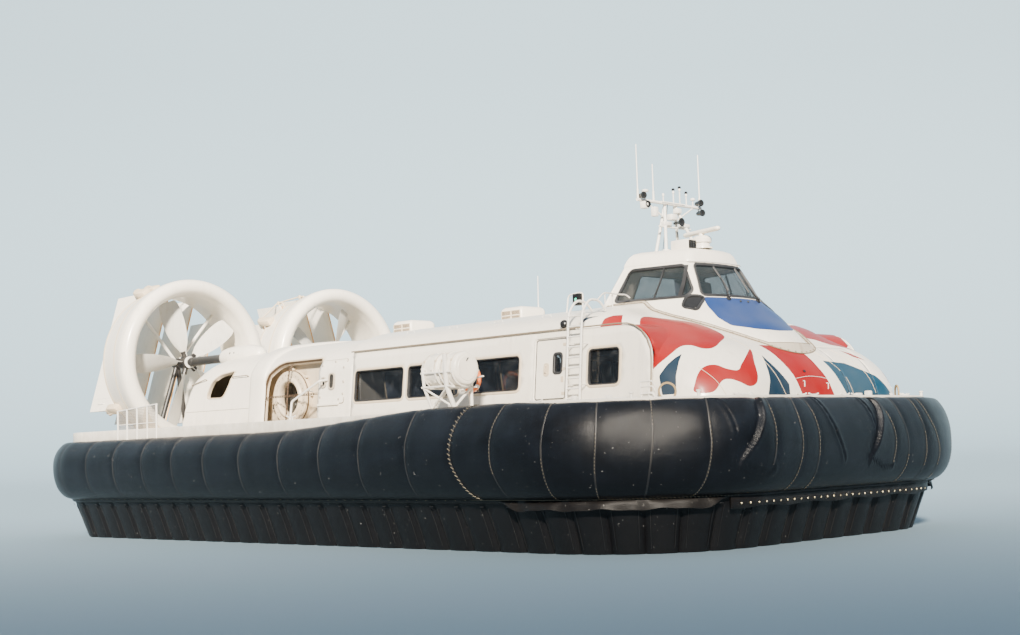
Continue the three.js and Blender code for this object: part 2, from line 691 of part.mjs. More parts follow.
function cowlBlock(inset) {
  const section = sectionBlock(starboardSection(machinerySection(inset, cowl.innerY)), -8000, cowl.foreX + (inset ? 60 : 0));
  return section.intersect(sideBlock(cowlProfile(inset), -5000, 0));
}

function buildCowl() {
  const vent = sideBlock([[-6120, 3720], [-5750, 3700], [-5020, 4280], [-5300, 4350]], -4200, -3300);
  return cowlBlock(0).subtract(cowlBlock(cowl.thick)).subtract(vent);
}

function buildEngine() {
  return box(-6200, -4500, -3150, -2130, deckZ + seat, 4050);
}

// Shaft fairing on the cowl and the shaft tube to the propeller hub
function buildShaft() {
  const z = duct.z;
  const bullet = turnedX([[0, -5150], [170, -5250], [290, -5600], [300, -6300], [250, -6800], [170, -6990], [0, -6990]],
    -duct.y, z, 14);
  const tube = rod([-6980, -duct.y, z], [prop.x + 260, -duct.y, z], 110, 10);
  return bullet.add(tube).subtract(cowlBlock(0).translate([0, 0, seat]));
}

function ductProfile() {
  const r = duct.lipRadius;
  const middle = duct.throat + r;
  const profile = [];
  for (let i = 0; i <= 5; i += 1) {
    const a = Math.PI - (i / 5) * Math.PI;
    profile.push([middle + r * Math.cos(a), duct.lipX + r * Math.sin(a)]);
  }
  profile.push([duct.outer - 10, duct.lipX - 150], [2280, -9200], [2190, -9600], [duct.exitOuter, duct.exitX]);
  profile.push([1960, duct.exitX], [1900, -9300], [1900, -8850]);
  profile.push(profile[0]);
  return profile;
}

function buildDuct() {
  const ring = turnedX(ductProfile(), -duct.y, duct.z, 32);
  let base = ring;
  const { y, x0, x1, bars } = fence;
  for (let i = 0; i < bars; i += 1) {
    const x = x0 + ((x1 - x0) * i) / (bars - 1);
    base = base.add(rod([x, y, deckZ + seat], [x, y, 3700], 22));
  }
  base = base.add(rod([x0, y, deckZ + 25], [x1 + 800, y, deckZ + 25], 20));
  const fairing = sideBlock([[-8440, deckZ + seat], [-7480, deckZ + seat], [-7560, deckZ + 70], [-8360, 3640], [-8440, 3640]],
    y - 15, y + 15);
  const foot = box(-8600, -8100, -duct.y - 400, -duct.y + 400, deckZ - 380, deckZ - 320);
  return base.add(fairing).add(foot.intersect(ring));
}

// Blade of the propeller, root to tip: [radius, chord, twist in degrees, thickness]
const bladeStations = [
  [110, 170, 64, 90], [330, 210, 58, 84], [620, 450, 48, 62], [1000, 590, 39, 50], [1400, 620, 31, 38], [1720, 560, 26, 28],
  [1850, 430, 24, 16],
];

function buildProp() {
  const z = duct.z;
  let rotor = turnedX([[0, prop.x + 230], [110, prop.x + 215], [prop.hubRadius, prop.x + 120], [prop.hubRadius, prop.x - 130],
    [120, prop.x - 190], [0, prop.x - 190]], 0, 0, 12);
  const loops = bladeStations.map(([r, chord, twist, thick]) => {
    const a = THREE.MathUtils.degToRad(twist);
    return [[-0.5, 0], [-0.2, 0.5], [0.25, 0.35], [0.5, 0], [0.25, -0.2], [-0.2, -0.35]].map(([c, t]) => {
      const along = c * chord;
      const off = t * thick;
      return [prop.x + along * Math.sin(a) + off * Math.cos(a), along * Math.cos(a) - off * Math.sin(a), r];
    });
  });
  const blade = loft(loops);
  for (let i = 0; i < prop.blades; i += 1) rotor = rotor.add(blade.rotate([(360 * i) / prop.blades + 20, 0, 0]));
  return rotor.translate([0, -duct.y, z]);
}

function buildPylon() {
  const z = duct.z;
  const x = prop.x - 460;
  let pylon = rod([x + 120, -duct.y, z], [x - 200, -duct.y, z], 150, 12);
  pylon = pylon.add(rod([prop.x - 190 - seat, -duct.y, z], [x, -duct.y, z], 70, 8));
  for (const [dy, dz, r] of [[-620, -1960, 55], [300, -1960, 55], [-1300, 1560, 40], [1300, 1560, 40]]) {
    pylon = pylon.add(rod([x - 40, -duct.y, z], [x - 60, -duct.y + dy, z + dz], r, 6));
  }
  return pylon.subtract(turnedX(ductSleeve(), -duct.y, z, 32));
}

// Everything outside the duct's bore, for trimming the pylon legs
function ductSleeve() {
  return [[1900 - seat, -8700], [1900 - seat, -9300], [1959.7, duct.exitX], [2600, duct.exitX], [2600, -8700],
    [1900 - seat, -8700]];
}

function rudderFrame(solid) {
  return solid.rotate([-rudder.splay, 0, 0]).translate([0, -duct.y, duct.z]);
}

// Reach of a rudder above and below the duct axis, in the splayed frame
function rudderReach(offset) {
  const splay = THREE.MathUtils.degToRad(rudder.splay);
  const chord = Math.sqrt(rudder.circle ** 2 - offset ** 2);
  const aboveDeck = (duct.z - deckZ - 270 - offset * Math.sin(splay)) / Math.cos(splay);
  return { up: chord, down: Math.min(chord, aboveDeck) };
}

function buildRudder(offset) {
  const { up, down } = rudderReach(offset);
  const { pivotX, noseX, tailX, thick } = rudder;
  const plan = [[noseX, 0], [noseX - 60, thick * 0.4], [pivotX - 120, thick / 2], [-10800, thick * 0.32], [tailX, 8],
    [tailX, -8], [-10800, -thick * 0.32], [pivotX - 120, -thick / 2], [noseX - 60, -thick * 0.4]];
  const blade = plate(plan.map(([x, y]) => [x, y + offset]), -down, up);
  const stock = rod([pivotX, offset, -down - 50], [pivotX, offset, up + 50], 30, 8);
  return rudderFrame(blade.add(stock));
}

// Light brackets on the duct's exit rim that hold the rudder stocks
function rudderBrackets() {
  let all = null;
  for (const offset of rudder.offsets) {
    const { up, down } = rudderReach(offset);
    for (const [reach, end] of [[up, 1], [down, -1]]) {
      const z = end * (reach + 50 + seat);
      const rimZ = end * Math.sqrt(2035 ** 2 - offset ** 2);
      const pad = rod([rudder.pivotX, offset, z], [rudder.pivotX, offset, z + end * 80], 60, 6);
      const bend = [rudder.noseX + 90, offset, z + end * 52];
      const arm = rod([rudder.pivotX, offset, z + end * 52], bend, 26).add(rod(bend, [duct.exitX + 120, offset, rimZ], 26));
      all = all ? all.add(pad).add(arm) : pad.add(arm);
    }
  }
  return rudderFrame(all);
}

function aboveDeck(solid) {
  return solid.intersect(box(-12000, 12000, -7000, 7000, deckZ + seat, 12000));
}

// Liferaft rack with two canisters end to end
function buildRafts() {
  const y = -5050;
  const z = 3810;
  let rack = rod([4420, y, z], [4940, y, z], 360, 20).add(rod([4930, y, z], [5000, y, z], 290, 12));
  rack = rack.add(rod([4990, y, z], [5510, y, z], 360, 20));
  for (const x of [4520, 5230]) {
    rack = rack.add(rod([x, y - 100, deckZ + seat], [x, y - 360, z + 40], 50, 8));
    rack = rack.add(rod([x, y + 380, deckZ + seat], [x, y + 360, z], 50, 8));
    rack = rack.add(rod([x, y - 120, 3010], [x, y + 370, 3420], 34, 6));
  }
  return aboveDeck(rack);
}

// Ladder up the cabin side with the hoops over the roof edge
function buildLadder() {
  const rails = [7420, 7800];
  let ladder = null;
  for (const x of rails) {
    let rail = rod([x, -4080, deckZ + seat], [x, -3900, 4870], 20);
    rail = rail.add(rod([x, -3900, 4870], [x, -3500, 5020], 20));
    rail = rail.add(rod([x, -3500, 5020], [x, -3150, 4905], 20));
    ladder = ladder ? ladder.add(rail) : rail;
  }
  for (let i = 0; i < 8; i += 1) {
    const t = (i + 0.6) / 8.4;
    ladder = ladder.add(rod([rails[0], -4080 + 180 * t, deckZ + 1970 * t], [rails[1], -4080 + 180 * t, deckZ + 1970 * t], 14, 6));
  }
  return aboveDeck(ladder.subtract(roofCover()));
}

function buildAirUnit(x, y) {
  const unit = loft([
    loopAt([[x - 355, y - 420], [x + 355, y - 420], [x + 355, y + 420], [x - 355, y + 420]], 5000),
    loopAt([[x - 355, y - 420], [x + 355, y - 420], [x + 355, y + 420], [x - 355, y + 420]], 5440),
    loopAt([[x - 300, y - 350], [x + 300, y - 350], [x + 300, y + 350], [x - 300, y + 350]], 5490),
  ]);
  return unit.subtract(sectionBlock(roofSection(0), bay.foreX, roofFrontX).translate([0, 0, seat]))
    .subtract(sectionBlock(starboardSection(baySection(0, -2)), -5000, bay.foreX).translate([0, 0, seat]));
}

// Signal mast: four legs, a yard and three whip aerials
function buildMast() {
  const roofZ = 6410 + seat;
  const x = 7100;
  const top = 7560;
  let mast = rod([x, -1150, top], [x, 1150, top], 35, 8);
  for (const y of [-330, 330]) mast = mast.add(rod([x - 120, y, roofZ], [x, y * 0.4, top], 32, 6));
  for (const y of [-560, 560]) mast = mast.add(rod([x + 330, y, roofZ], [x, y * 0.3, top - 20], 28, 6));
  mast = mast.add(rod([x + 130, -560, 6990], [x + 130, 560, 6990], 24, 6));
  for (const [y, h] of [[-1100, 1260], [1120, 1270], [-570, 870]]) mast = mast.add(rod([x, y, top - 10], [x, y, top + h], 14, 6));
  return mast.subtract(box(6000, 9000, -2000, 2000, 5000, roofZ));
}

const radar = { x: 8060, y: -100 };

function buildRadarPost() {
  return turnedZ([[0, 6410 + seat], [190, 6410 + seat], [190, 6560], [120, 6680], [60, 6700], [0, 6700]], radar.x, radar.y, 16)
    .subtract(box(8000, 9000, -900, 900, 6000, 6300));
}

function buildScanner() {
  const bar = box(-640, 640, -55, 55, 6740, 6830);
  const boss = rod([0, 0, 6700 + seat], [0, 0, 6745], 60, 12);
  return bar.add(boss).rotate([0, 0, -15]).translate([radar.x, radar.y, 0]);
}

// Cabin seats in rows on one thin floor plate
function buildSeats() {
  const floor = box(400, 7000, -3500, 3500, deckZ + seat, deckZ + 40);
  let seats = floor.subtract(box(6000, 7010, -3600, -1500, 2000, 4000)).subtract(box(6000, 7010, 1500, 3600, 2000, 4000));
  const blocks = [[-3400, -2100], [-1500, 1500], [2100, 3400]];
  for (let row = 0; row < 7; row += 1) {
    const x = 900 + row * 800;
    for (const [y0, y1] of blocks) {
      if (row === 6 && y0 !== -1500) continue;
      seats = seats.add(box(x, x + 420, y0, y1, deckZ + 30, deckZ + 430));
      seats = seats.add(box(x - 110, x, y0, y1, deckZ + 30, deckZ + 1050));
    }
  }
  return seats;
}

function buildBulkhead() {
  return sectionBlock(starboardBoth(), bay.foreX + 6, bay.foreX + 60);
}

function starboardBoth() {
  const half = [[3560, deckZ + 0.4], [3560, 4520], [2900, 4880], [2400, 5000], [1200, 5130], [0, 5180]];
  return half.concat(half.slice(0, -1).reverse().map(([y, z]) => [-y, z]));
}

// Materials
const paint = { colour: 0xf2ede4, metal: 0.0, rough: 0.35 };
const black = { colour: 0x1c1d20, metal: 0.0, rough: 0.55 };
const glassDark = { colour: 0x2a3238, metal: 0.0, rough: 0.08 };
const blueGrey = { colour: 0x3a4250, metal: 0.0, rough: 0.9 };
const steel = { colour: 0x8a8c8e, metal: 0.7, rough: 0.4 };
const redPaint = { colour: 0xd8434a, metal: 0.0, rough: 0.35 };

const group = new THREE.Group();

function place(name, solid, look) {
  const material = new THREE.MeshStandardMaterial({ color: look.colour, metalness: look.metal, roughness: look.rough });
  const mesh = new THREE.Mesh(geometryOf(solid), material);
  mesh.name = name;
  group.add(mesh);
}

// One piece on each side, built on the starboard side
function placePair(name, solid, look) {
  place(`${name}_starboard`, solid, look);
  place(`${name}_port`, toPort(solid), look);
}

place('hull', buildHull(), paint);
place('skirt_bag_fore', buildBag(true), black);
place('skirt_bag_aft', buildBag(false), black);
place('skirt_fingers_fore', buildFingers(true), black);
place('skirt_fingers_aft', buildFingers(false), black);
placePair('cabin_side', buildWall(), paint);
place('cabin_roof', buildRoof(), paint);
place('cabin_bulkhead', buildBulkhead(), paint);
place('cabin_seats', buildSeats(), blueGrey);
placePair('side_glass_aft', buildGlassStrip(sideWindows), glassDark);
placePair('side_glass_fore', buildGlassStrip([foreWindow]), glassDark);
placePair('side_door', buildSideDoor(), paint);
place('bow_dome', buildDome(), redPaint);
place('bow_door', buildBowDoor(), paint);
place('wheelhouse', buildHouse(), paint);
place('wheelhouse_roof', buildHouseRoof(), paint);
place('wheelhouse_helm', buildHelm(), blueGrey);
place('windscreen', housePane(sectionBlock([[-1010, 5210], [1010, 5210], [820, 6030], [-820, 6030]], 8250, 9200)), glassDark);
placePair('wheelhouse_glass', housePane(sideBlock([[6770, 5180], [8500, 5180], [8130, 6010], [6930, 6010]], -2500, -940)),
  glassDark);
placePair('lift_bay', buildBay(), paint);
placePair('lift_fan', buildFan(), steel);
placePair('engine_cowl', buildCowl(), paint);
placePair('engine', buildEngine(), steel);
placePair('duct', buildDuct().add(rudderBrackets()), paint);
placePair('propeller', buildProp(), black);
placePair('propeller_shaft', buildShaft(), black);
placePair('propeller_pylon', buildPylon(), black);
rudder.offsets.forEach((offset, i) => placePair(`rudder_${i + 1}`, buildRudder(offset), paint));
placePair('liferafts', buildRafts(), paint);
placePair('ladder', buildLadder(), paint);
place('air_unit_fore', buildAirUnit(3145, -900), paint);
place('air_unit_aft', buildAirUnit(-875, -900), paint);
place('mast', buildMast(), paint);
place('radar_post', buildRadarPost(), paint);
place('radar_scanner', buildScanner(), paint);

export default group;
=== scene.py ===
# Passenger hovercraft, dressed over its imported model. Metres, +X to the bow, +Y to port, +Z up.
import bisect
import math

import bmesh
import bpy
from mathutils import Matrix, Vector, geometry, kdtree, noise
from mathutils.bvhtree import BVHTree


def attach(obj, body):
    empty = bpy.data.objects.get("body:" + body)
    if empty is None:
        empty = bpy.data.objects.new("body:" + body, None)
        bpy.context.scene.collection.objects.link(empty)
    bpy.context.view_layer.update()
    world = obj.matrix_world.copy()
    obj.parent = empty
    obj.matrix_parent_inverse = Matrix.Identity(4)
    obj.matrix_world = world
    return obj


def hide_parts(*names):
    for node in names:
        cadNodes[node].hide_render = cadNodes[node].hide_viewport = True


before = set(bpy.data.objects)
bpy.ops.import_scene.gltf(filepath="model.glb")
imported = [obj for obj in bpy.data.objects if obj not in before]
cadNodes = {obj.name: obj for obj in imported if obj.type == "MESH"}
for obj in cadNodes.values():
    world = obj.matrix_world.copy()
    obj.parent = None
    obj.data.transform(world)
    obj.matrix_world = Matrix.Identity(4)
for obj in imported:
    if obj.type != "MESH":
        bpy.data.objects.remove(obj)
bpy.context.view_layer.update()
sides = (("starboard", -1), ("port", 1))
print("frame loaded:", len(cadNodes), "nodes")

shot = {
    "imageWidth": 1020,
    "focalPixels": 1500,
    "sensor": 36.0,
    "position": (28.6, -26.8, 2.1),
    "yaw": 45.01,        # degrees left of +Y
    "pitch": 4.96,
    "roll": -1.89,
}


def placeCamera():
    camera = bpy.data.objects.new("camera", bpy.data.cameras.new("camera"))
    bpy.context.scene.collection.objects.link(camera)
    camera.data.sensor_width = shot["sensor"]
    camera.data.lens = shot["focalPixels"] * shot["sensor"] / shot["imageWidth"]
    camera.data.clip_start, camera.data.clip_end = 0.5, 1000
    yaw, pitch, roll = (math.radians(shot[k]) for k in ("yaw", "pitch", "roll"))
    ahead = Vector((-math.sin(yaw) * math.cos(pitch), math.cos(yaw) * math.cos(pitch), math.sin(pitch)))
    right = Vector((math.cos(yaw), math.sin(yaw), 0))
    up = right.cross(ahead)
    rolledRight = math.cos(roll) * right + math.sin(roll) * up
    rolledUp = -math.sin(roll) * right + math.cos(roll) * up
    turn = Matrix((rolledRight, rolledUp, -ahead)).transposed().to_4x4()
    camera.matrix_world = Matrix.Translation(shot["position"]) @ turn
    bpy.context.scene.camera = camera


studio = {
    "floorRadius": 130.0,
    "wallCurve": 60.0,
    "wallHeight": 95.0,
    "floorColour": (0.185, 0.27, 0.335, 1),
    "skyColour": (0.74, 0.85, 1.0, 1),
    "skyStrength": 0.78,
    "sunColour": (1.0, 0.90, 0.76),
    "sunStrength": 20.5,
    "sunSoftness": 6.0,          # degrees
    "sunFrom": (0.60, -0.66, 0.46),
}


def buildStudio():
    # A bowl: flat floor whose rim curves up into a wall, so no horizon line shows
    rim, curve = studio["floorRadius"], studio["wallCurve"]
    profile = [(0.01, 0), (30, 0), (60, 0), (90, 0), (rim, 0)]
    for i in range(1, 13):
        a = i / 12 * math.pi / 2
        profile.append((rim + curve * math.sin(a), curve * (1 - math.cos(a))))
    profile.append((rim + curve, studio["wallHeight"]))
    steps = 96
    verts = [(r * math.cos(2 * math.pi * k / steps), r * math.sin(2 * math.pi * k / steps), z - 0.002)
             for r, z in profile for k in range(steps)]
    faces = [(i * steps + k, i * steps + (k + 1) % steps, (i + 1) * steps + (k + 1) % steps, (i + 1) * steps + k)
             for i in range(len(profile) - 1) for k in range(steps)]
    mesh = bpy.data.meshes.new("studioFloor")
    mesh.from_pydata(verts, [], faces)
    mesh.shade_smooth()
    floor = bpy.data.objects.new("studioFloor", mesh)
    bpy.context.scene.collection.objects.link(floor)
    material = bpy.data.materials.new("paleFloor")
    material.use_nodes = True
    shader = material.node_tree.nodes["Principled BSDF"]
    shader.inputs["Base Color"].default_value = studio["floorColour"]
    shader.inputs["Roughness"].default_value = 0.85
    mesh.materials.append(material)

    world = bpy.data.worlds.new("studioSky")
    bpy.context.scene.world = world
    world.use_nodes = True
    sky = world.node_tree.nodes["Background"]
    sky.inputs["Color"].default_value = studio["skyColour"]
    sky.inputs["Strength"].default_value = studio["skyStrength"]

    lamp = bpy.data.lights.new("keyLight", "SUN")
    lamp.energy = studio["sunStrength"]
    lamp.color = studio["sunColour"]
    lamp.angle = math.radians(studio["sunSoftness"])
    key = bpy.data.objects.new("keyLight", lamp)
    bpy.context.scene.collection.objects.link(key)
    key.rotation_mode = "QUATERNION"
    key.rotation_quaternion = Vector(studio["sunFrom"]).to_track_quat("Z", "Y")


placeCamera()
buildStudio()
print("camera, floor and light are set")


# Shader nodes: a value or a socket for each named input
def put(tree, kind, inputs=None, **settings):
    made = tree.nodes.new("ShaderNode" + kind)
    for key, value in settings.items():
        setattr(made, key, value)
    for key, value in (inputs or {}).items():
        if isinstance(value, bpy.types.NodeSocket):
            tree.links.new(value, made.inputs[key])
        else:
            made.inputs[key].default_value = value
    return made


class Effect:
    # A node group that gives a colour, a roughness and a height; a method adds a node and returns its socket
    kinds = {tuple: "NodeSocketColor", float: "NodeSocketFloat"}

    def __init__(self, name, **inputs):
        self.tree = bpy.data.node_groups.new(name, "ShaderNodeTree")
        sockets = self.tree.interface
        for label, value in inputs.items():
            sockets.new_socket(label, in_out="INPUT", socket_type=self.kinds[type(value)]).default_value = value
        for label, kind in (("colour", tuple), ("roughness", float), ("height", float)):
            sockets.new_socket(label, in_out="OUTPUT", socket_type=self.kinds[kind])
        self.given = self.tree.nodes.new("NodeGroupInput").outputs
        self.place = put(self.tree, "TexCoord").outputs["Object"]

    def noise(self, scale, detail, stretch=(1, 1, 1), distortion=0.0):
        mapped = put(self.tree, "Mapping", {"Vector": self.place, "Scale": stretch}).outputs["Vector"]
        return put(self.tree, "TexNoise", {"Vector": mapped, "Scale": scale, "Detail": detail,
                                           "Distortion": distortion}).outputs["Fac"]

    def threads(self, scale, way):
        return put(self.tree, "TexWave", {"Vector": self.place, "Scale": scale}, bands_direction=way).outputs["Fac"]

    def level(self):
        return put(self.tree, "SeparateXYZ", {0: self.place}).outputs["Z"]

    def band(self, value, low, high, toLow=0.0, toHigh=1.0):
        return put(self.tree, "MapRange", {"Value": value, "From Min": low, "From Max": high, "To Min": toLow,
                                           "To Max": toHigh}).outputs["Result"]

    def joined(self, operation, a, b, clamp=False):
        return put(self.tree, "Math", {0: a, 1: b}, operation=operation, use_clamp=clamp).outputs[0]

    def plus(self, a, b):
        return self.joined("ADD", a, b)

    def times(self, a, b):
        return self.joined("MULTIPLY", a, b)

    def tint(self, factor, a, b):
        return put(self.tree, "Mix", {"Factor": factor, 6: a, 7: b}, data_type="RGBA").outputs[2]

    def give(self, *sockets):
        out = self.tree.nodes.new("NodeGroupOutput").inputs
        for place, socket in enumerate(sockets):
            self.tree.links.new(socket, out[place])
        return self.tree


# Gloss paint with slow tone changes, rain streaks, a dirty foot and a faint ripple
def wornPaint():
    e = Effect("wornPaint", colour=(0.8, 0.8, 0.8, 1), grimeColour=(0.3, 0.24, 0.17, 1), grime=0.3, foot=2.9,
               gloss=0.28)
    slow = e.noise(0.7, 3)
    streaks = e.band(e.noise(1.4, 6, (5, 5, 0.45), 0.3), 0.52, 0.78)
    specks = e.band(e.noise(9, 8), 0.62, 0.74)
    foot = e.band(e.joined("SUBTRACT", e.level(), e.given["foot"]), 0.45, 0.0)
    footDirt = e.times(foot, e.band(e.noise(3.5, 7), 0.35, 0.7))
    wear = e.plus(e.plus(e.times(streaks, 0.55), e.times(specks, 0.35)), footDirt)
    mask = e.joined("MULTIPLY", wear, e.given["grime"], True)
    tone = e.tint(e.band(slow, 0.3, 0.7, 0.0, 0.10), e.given["colour"], (0.42, 0.40, 0.37, 1))
    rough = e.plus(e.given["gloss"], e.times(mask, 0.4))
    return e.give(e.tint(mask, tone, e.given["grimeColour"]), e.plus(rough, e.band(slow, 0.3, 0.7, 0.0, 0.09)),
                  e.plus(e.noise(1.6, 2), e.times(e.noise(70, 3), 0.05)))


# Coated skirt cloth: wiped dust, salt marks, a fine cross weave and dull patches. The dust colour also serves as a
# painted sky sheen, laid on more strongly towards the top
def rubberFabric():
    e = Effect("rubberFabric", colour=(0.02, 0.02, 0.022, 1), dustColour=(0.16, 0.17, 0.19, 1), dust=0.4, wet=0.3)
    # Dust, and with it the painted sky sheen, grows from a quarter at the first height to full at the second
    dustAndSheenLow, dustAndSheenHigh = 1.2, 2.6
    patches = e.band(e.noise(1.1, 8, (0.7, 0.7, 1.6), 0.6), 0.38, 0.72)
    wipes = e.band(e.noise(1.6, 6, (4, 4, 0.5), 0.4), 0.45, 0.8)
    salt = e.band(e.noise(14, 10), 0.69, 0.76)
    dust = e.times(e.plus(e.times(patches, 0.6), e.times(wipes, 0.35)),
                   e.band(e.level(), dustAndSheenLow, dustAndSheenHigh, 0.25, 1.0))
    mask = e.joined("MULTIPLY", dust, e.given["dust"], True)
    tone = e.tint(mask, e.given["colour"], e.given["dustColour"])
    weave = e.times(e.plus(e.threads(90, "Z"), e.threads(90, "DIAGONAL")), 0.04)
    return e.give(e.tint(e.times(salt, 0.35), tone, (0.45, 0.44, 0.42, 1)),
                  e.plus(e.given["wet"], e.times(mask, 0.55)), e.plus(e.noise(2.2, 5, (0.6, 0.6, 1.2), 0.5), weave))


# Bare or painted machinery with a drawn grain
def brushedMetal():
    e = Effect("brushedMetal", colour=(0.5, 0.5, 0.5, 1), stainColour=(0.16, 0.12, 0.08, 1), stain=0.4, rough=0.35)
    grain = e.noise(3, 4, (2, 60, 60))
    mask = e.joined("MULTIPLY", e.band(e.noise(5, 7), 0.5, 0.75), e.given["stain"], True)
    rough = e.plus(e.given["rough"], e.times(grain, 0.15))
    return e.give(e.tint(mask, e.given["colour"], e.given["stainColour"]), e.plus(rough, e.times(mask, 0.3)), grain)


# Cloth weave for the seats, with a pale stripe fleck
def seatWeave():
    e = Effect("seatWeave", colour=(0.05, 0.07, 0.12, 1), fleckColour=(0.4, 0.42, 0.45, 1), fleck=0.4)
    weave = e.times(e.threads(160, "X"), e.threads(160, "Z"))
    mask = e.joined("MULTIPLY", e.band(e.noise(60, 3), 0.58, 0.66), e.given["fleck"], True)
    return e.give(e.tint(mask, e.given["colour"], e.given["fleckColour"]), e.band(weave, 0, 1, 0.75, 0.95), weave)


# Dried spray on window glass
def sprayedGlass():
    e = Effect("sprayedGlass", colour=(0.01, 0.012, 0.015, 1), spray=0.3)
    mask = e.joined("MULTIPLY", e.band(e.noise(6, 8, (1, 1, 0.6)), 0.5, 0.8), e.given["spray"], True)
    return e.give(e.tint(mask, e.given["colour"], (0.3, 0.32, 0.34, 1)), e.plus(e.times(mask, 0.3), 0.04),
                  e.noise(0.9, 1))


effects = {"paint": wornPaint(), "rubber": rubberFabric(), "metal": brushedMetal(), "weave": seatWeave(),
           "glass": sprayedGlass()}


def finishOf(name, effect, bump, relief, plain=None, **values):
    # bump is its strength, relief its depth in metres; plain goes to the shader, values to the node group
    material = bpy.data.materials.new(name)
    material.use_nodes = True
    tree = material.node_tree
    shader = tree.nodes["Principled BSDF"].inputs
    group = put(tree, "Group", node_tree=effects[effect])
    for key, value in values.items():
        group.inputs[key].default_value = value
    raisedBy = put(tree, "Bump", {"Height": group.outputs["height"], "Strength": bump, "Distance": relief})
    tree.links.new(group.outputs["colour"], shader["Base Color"])
    tree.links.new(group.outputs["roughness"], shader["Roughness"])
    tree.links.new(raisedBy.outputs["Normal"], shader["Normal"])
    for key, value in (plain or {}).items():
        shader[key].default_value = value
    return material


def paintOf(name, colour, grime=0.3, foot=2.9, gloss=0.28, coat=0.2, bump=0.12, relief=0.02, shine=0.4):
    return finishOf(name, "paint", bump, relief,
                    {"Coat Weight": coat, "Coat Roughness": 0.16, "Specular IOR Level": shine},
                    colour=(*colour, 1), grime=grime, foot=foot, gloss=gloss)


def rubberOf(name, colour, dust, wet, bump, relief, dustColour=(0.16, 0.17, 0.19), shine=0.5):
    return finishOf(name, "rubber", bump, relief, {"Specular IOR Level": shine}, colour=(*colour, 1), dust=dust,
                    wet=wet, dustColour=(*dustColour, 1))


def metalOf(name, colour, metallic, stain=0.4, rough=0.35, bump=0.2, relief=0.002):
    return finishOf(name, "metal", bump, relief, {"Metallic": metallic}, colour=(*colour, 1), stain=stain, rough=rough)


def stripeOf(name, colour, grime=0.05):
    return paintOf(name, colour, grime, gloss=0.34, coat=0.05, shine=0.10)


whitePaint = paintOf("warmWhitePaint", (0.89, 0.835, 0.735), 0.26)
fittingWhite = paintOf("fittingWhitePaint", (0.84, 0.81, 0.75), 0.42, 1.0, 0.36, bump=0.06)
deckPaint = paintOf("deckGreyPaint", (0.52, 0.51, 0.48), 0.8, 2.8, 0.62, 0.0, 0.5, 0.004)
creamMoulding = paintOf("creamMoulding", (0.66, 0.55, 0.40), 0.5, gloss=0.42, coat=0.1)
redPaint = stripeOf("coralRedPaint", (0.27, 0.0006, 0.0022))
navyPaint = stripeOf("stripeBluePaint", (0.0, 0.018, 0.042))
tealPaint = stripeOf("tealBluePaint", (0.0, 0.043, 0.085))
royalPaint = stripeOf("royalBluePaint", (0.0, 0.030, 0.150), 0.03)
blackPaint = paintOf("blackPaint", (0.010, 0.010, 0.011), 0.12, 1.0, 0.34, 0.05, shine=0.3)
orangePaint = paintOf("orangePaint", (0.80, 0.16, 0.01), 0.2, 1.0, 0.4, 0.1)
footPaint = paintOf("footPaint", (0.50, 0.44, 0.36), 1.0, gloss=0.5, coat=0.0)
meshMetal = paintOf("meshMetal", (0.22, 0.20, 0.18), 0.6, gloss=0.45, coat=0.0)
gearTan = paintOf("gearTan", (0.34, 0.23, 0.10), 0.6, gloss=0.7, coat=0.0)
gutterBrown = paintOf("gutterBrown", (0.20, 0.155, 0.10), 0.6, gloss=0.5, coat=0.0)
lineOrange = paintOf("ochreEdgePaint", (0.72, 0.36, 0.08), 0.2, 1.0, 0.4, 0.1)
bladePaint = paintOf("paleBladePaint", (0.60, 0.585, 0.54), 0.5, 1.0, 0.36, 0.1)
cabinLining = paintOf("cabinLining", (0.50, 0.48, 0.44), 0.2, gloss=0.6, coat=0.0)
# The bag's blue-grey dust colour is a painted sky sheen on its upper part, laid over its real dust
bagRubber = rubberOf("bagRubber", (0.003, 0.0035, 0.005), 0.16, 0.33, 0.30, 0.03, (0.035, 0.05, 0.08), 0.24)
fingerRubber = rubberOf("fingerRubber", (0.005, 0.005, 0.006), 0.12, 0.45, 0.5, 0.03, (0.05, 0.05, 0.052), 0.25)
hemRubber = rubberOf("hemRubber", (0.006, 0.005, 0.005), 0.3, 0.42, 0.4, 0.02, (0.11, 0.09, 0.065), 0.28)
seamRubber = rubberOf("seamRubber", (0.008, 0.008, 0.009), 0.5, 0.4, 0.4, 0.01, (0.12, 0.105, 0.085))
stitchCord = rubberOf("stitchCord", (0.14, 0.12, 0.085), 0.6, 0.6, 0.3, 0.003, (0.10, 0.085, 0.06))
frameRubber = rubberOf("frameRubber", (0.012, 0.012, 0.013), 0.25, 0.5, 0.2, 0.004)
lampBlack = rubberOf("lampBlack", (0.01, 0.01, 0.01), 0.1, 0.25, 0.1, 0.002)
bareMetal = metalOf("brushedAluminium", (0.56, 0.56, 0.55), 1.0)
boltMetal = metalOf("yellowedBolts", (0.78, 0.66, 0.42), 0.55, 0.6)
darkMetal = metalOf("darkMetal", (0.05, 0.048, 0.045), 0.6, rough=0.45)
grilleMetal = metalOf("brownGrilleMetal", (0.10, 0.065, 0.04), 0.3, rough=0.5)
engineMetal = metalOf("engineCasting", (0.10, 0.11, 0.12), 0.5, 0.7, 0.5, 0.4, 0.004)
seatCloth = finishOf("seatCloth", "weave", 0.4, 0.001, {"Sheen Weight": 0.25})
darkGlass = finishOf("darkSideGlass", "glass", 0.1, 0.01, {"Alpha": 0.48, "IOR": 1.5}, spray=0.10)
clearGlass = finishOf("wheelhouseGlass", "glass", 0.1, 0.01, {"Alpha": 0.42, "IOR": 1.5}, spray=0.1,
                      colour=(0.02, 0.028, 0.032, 1))
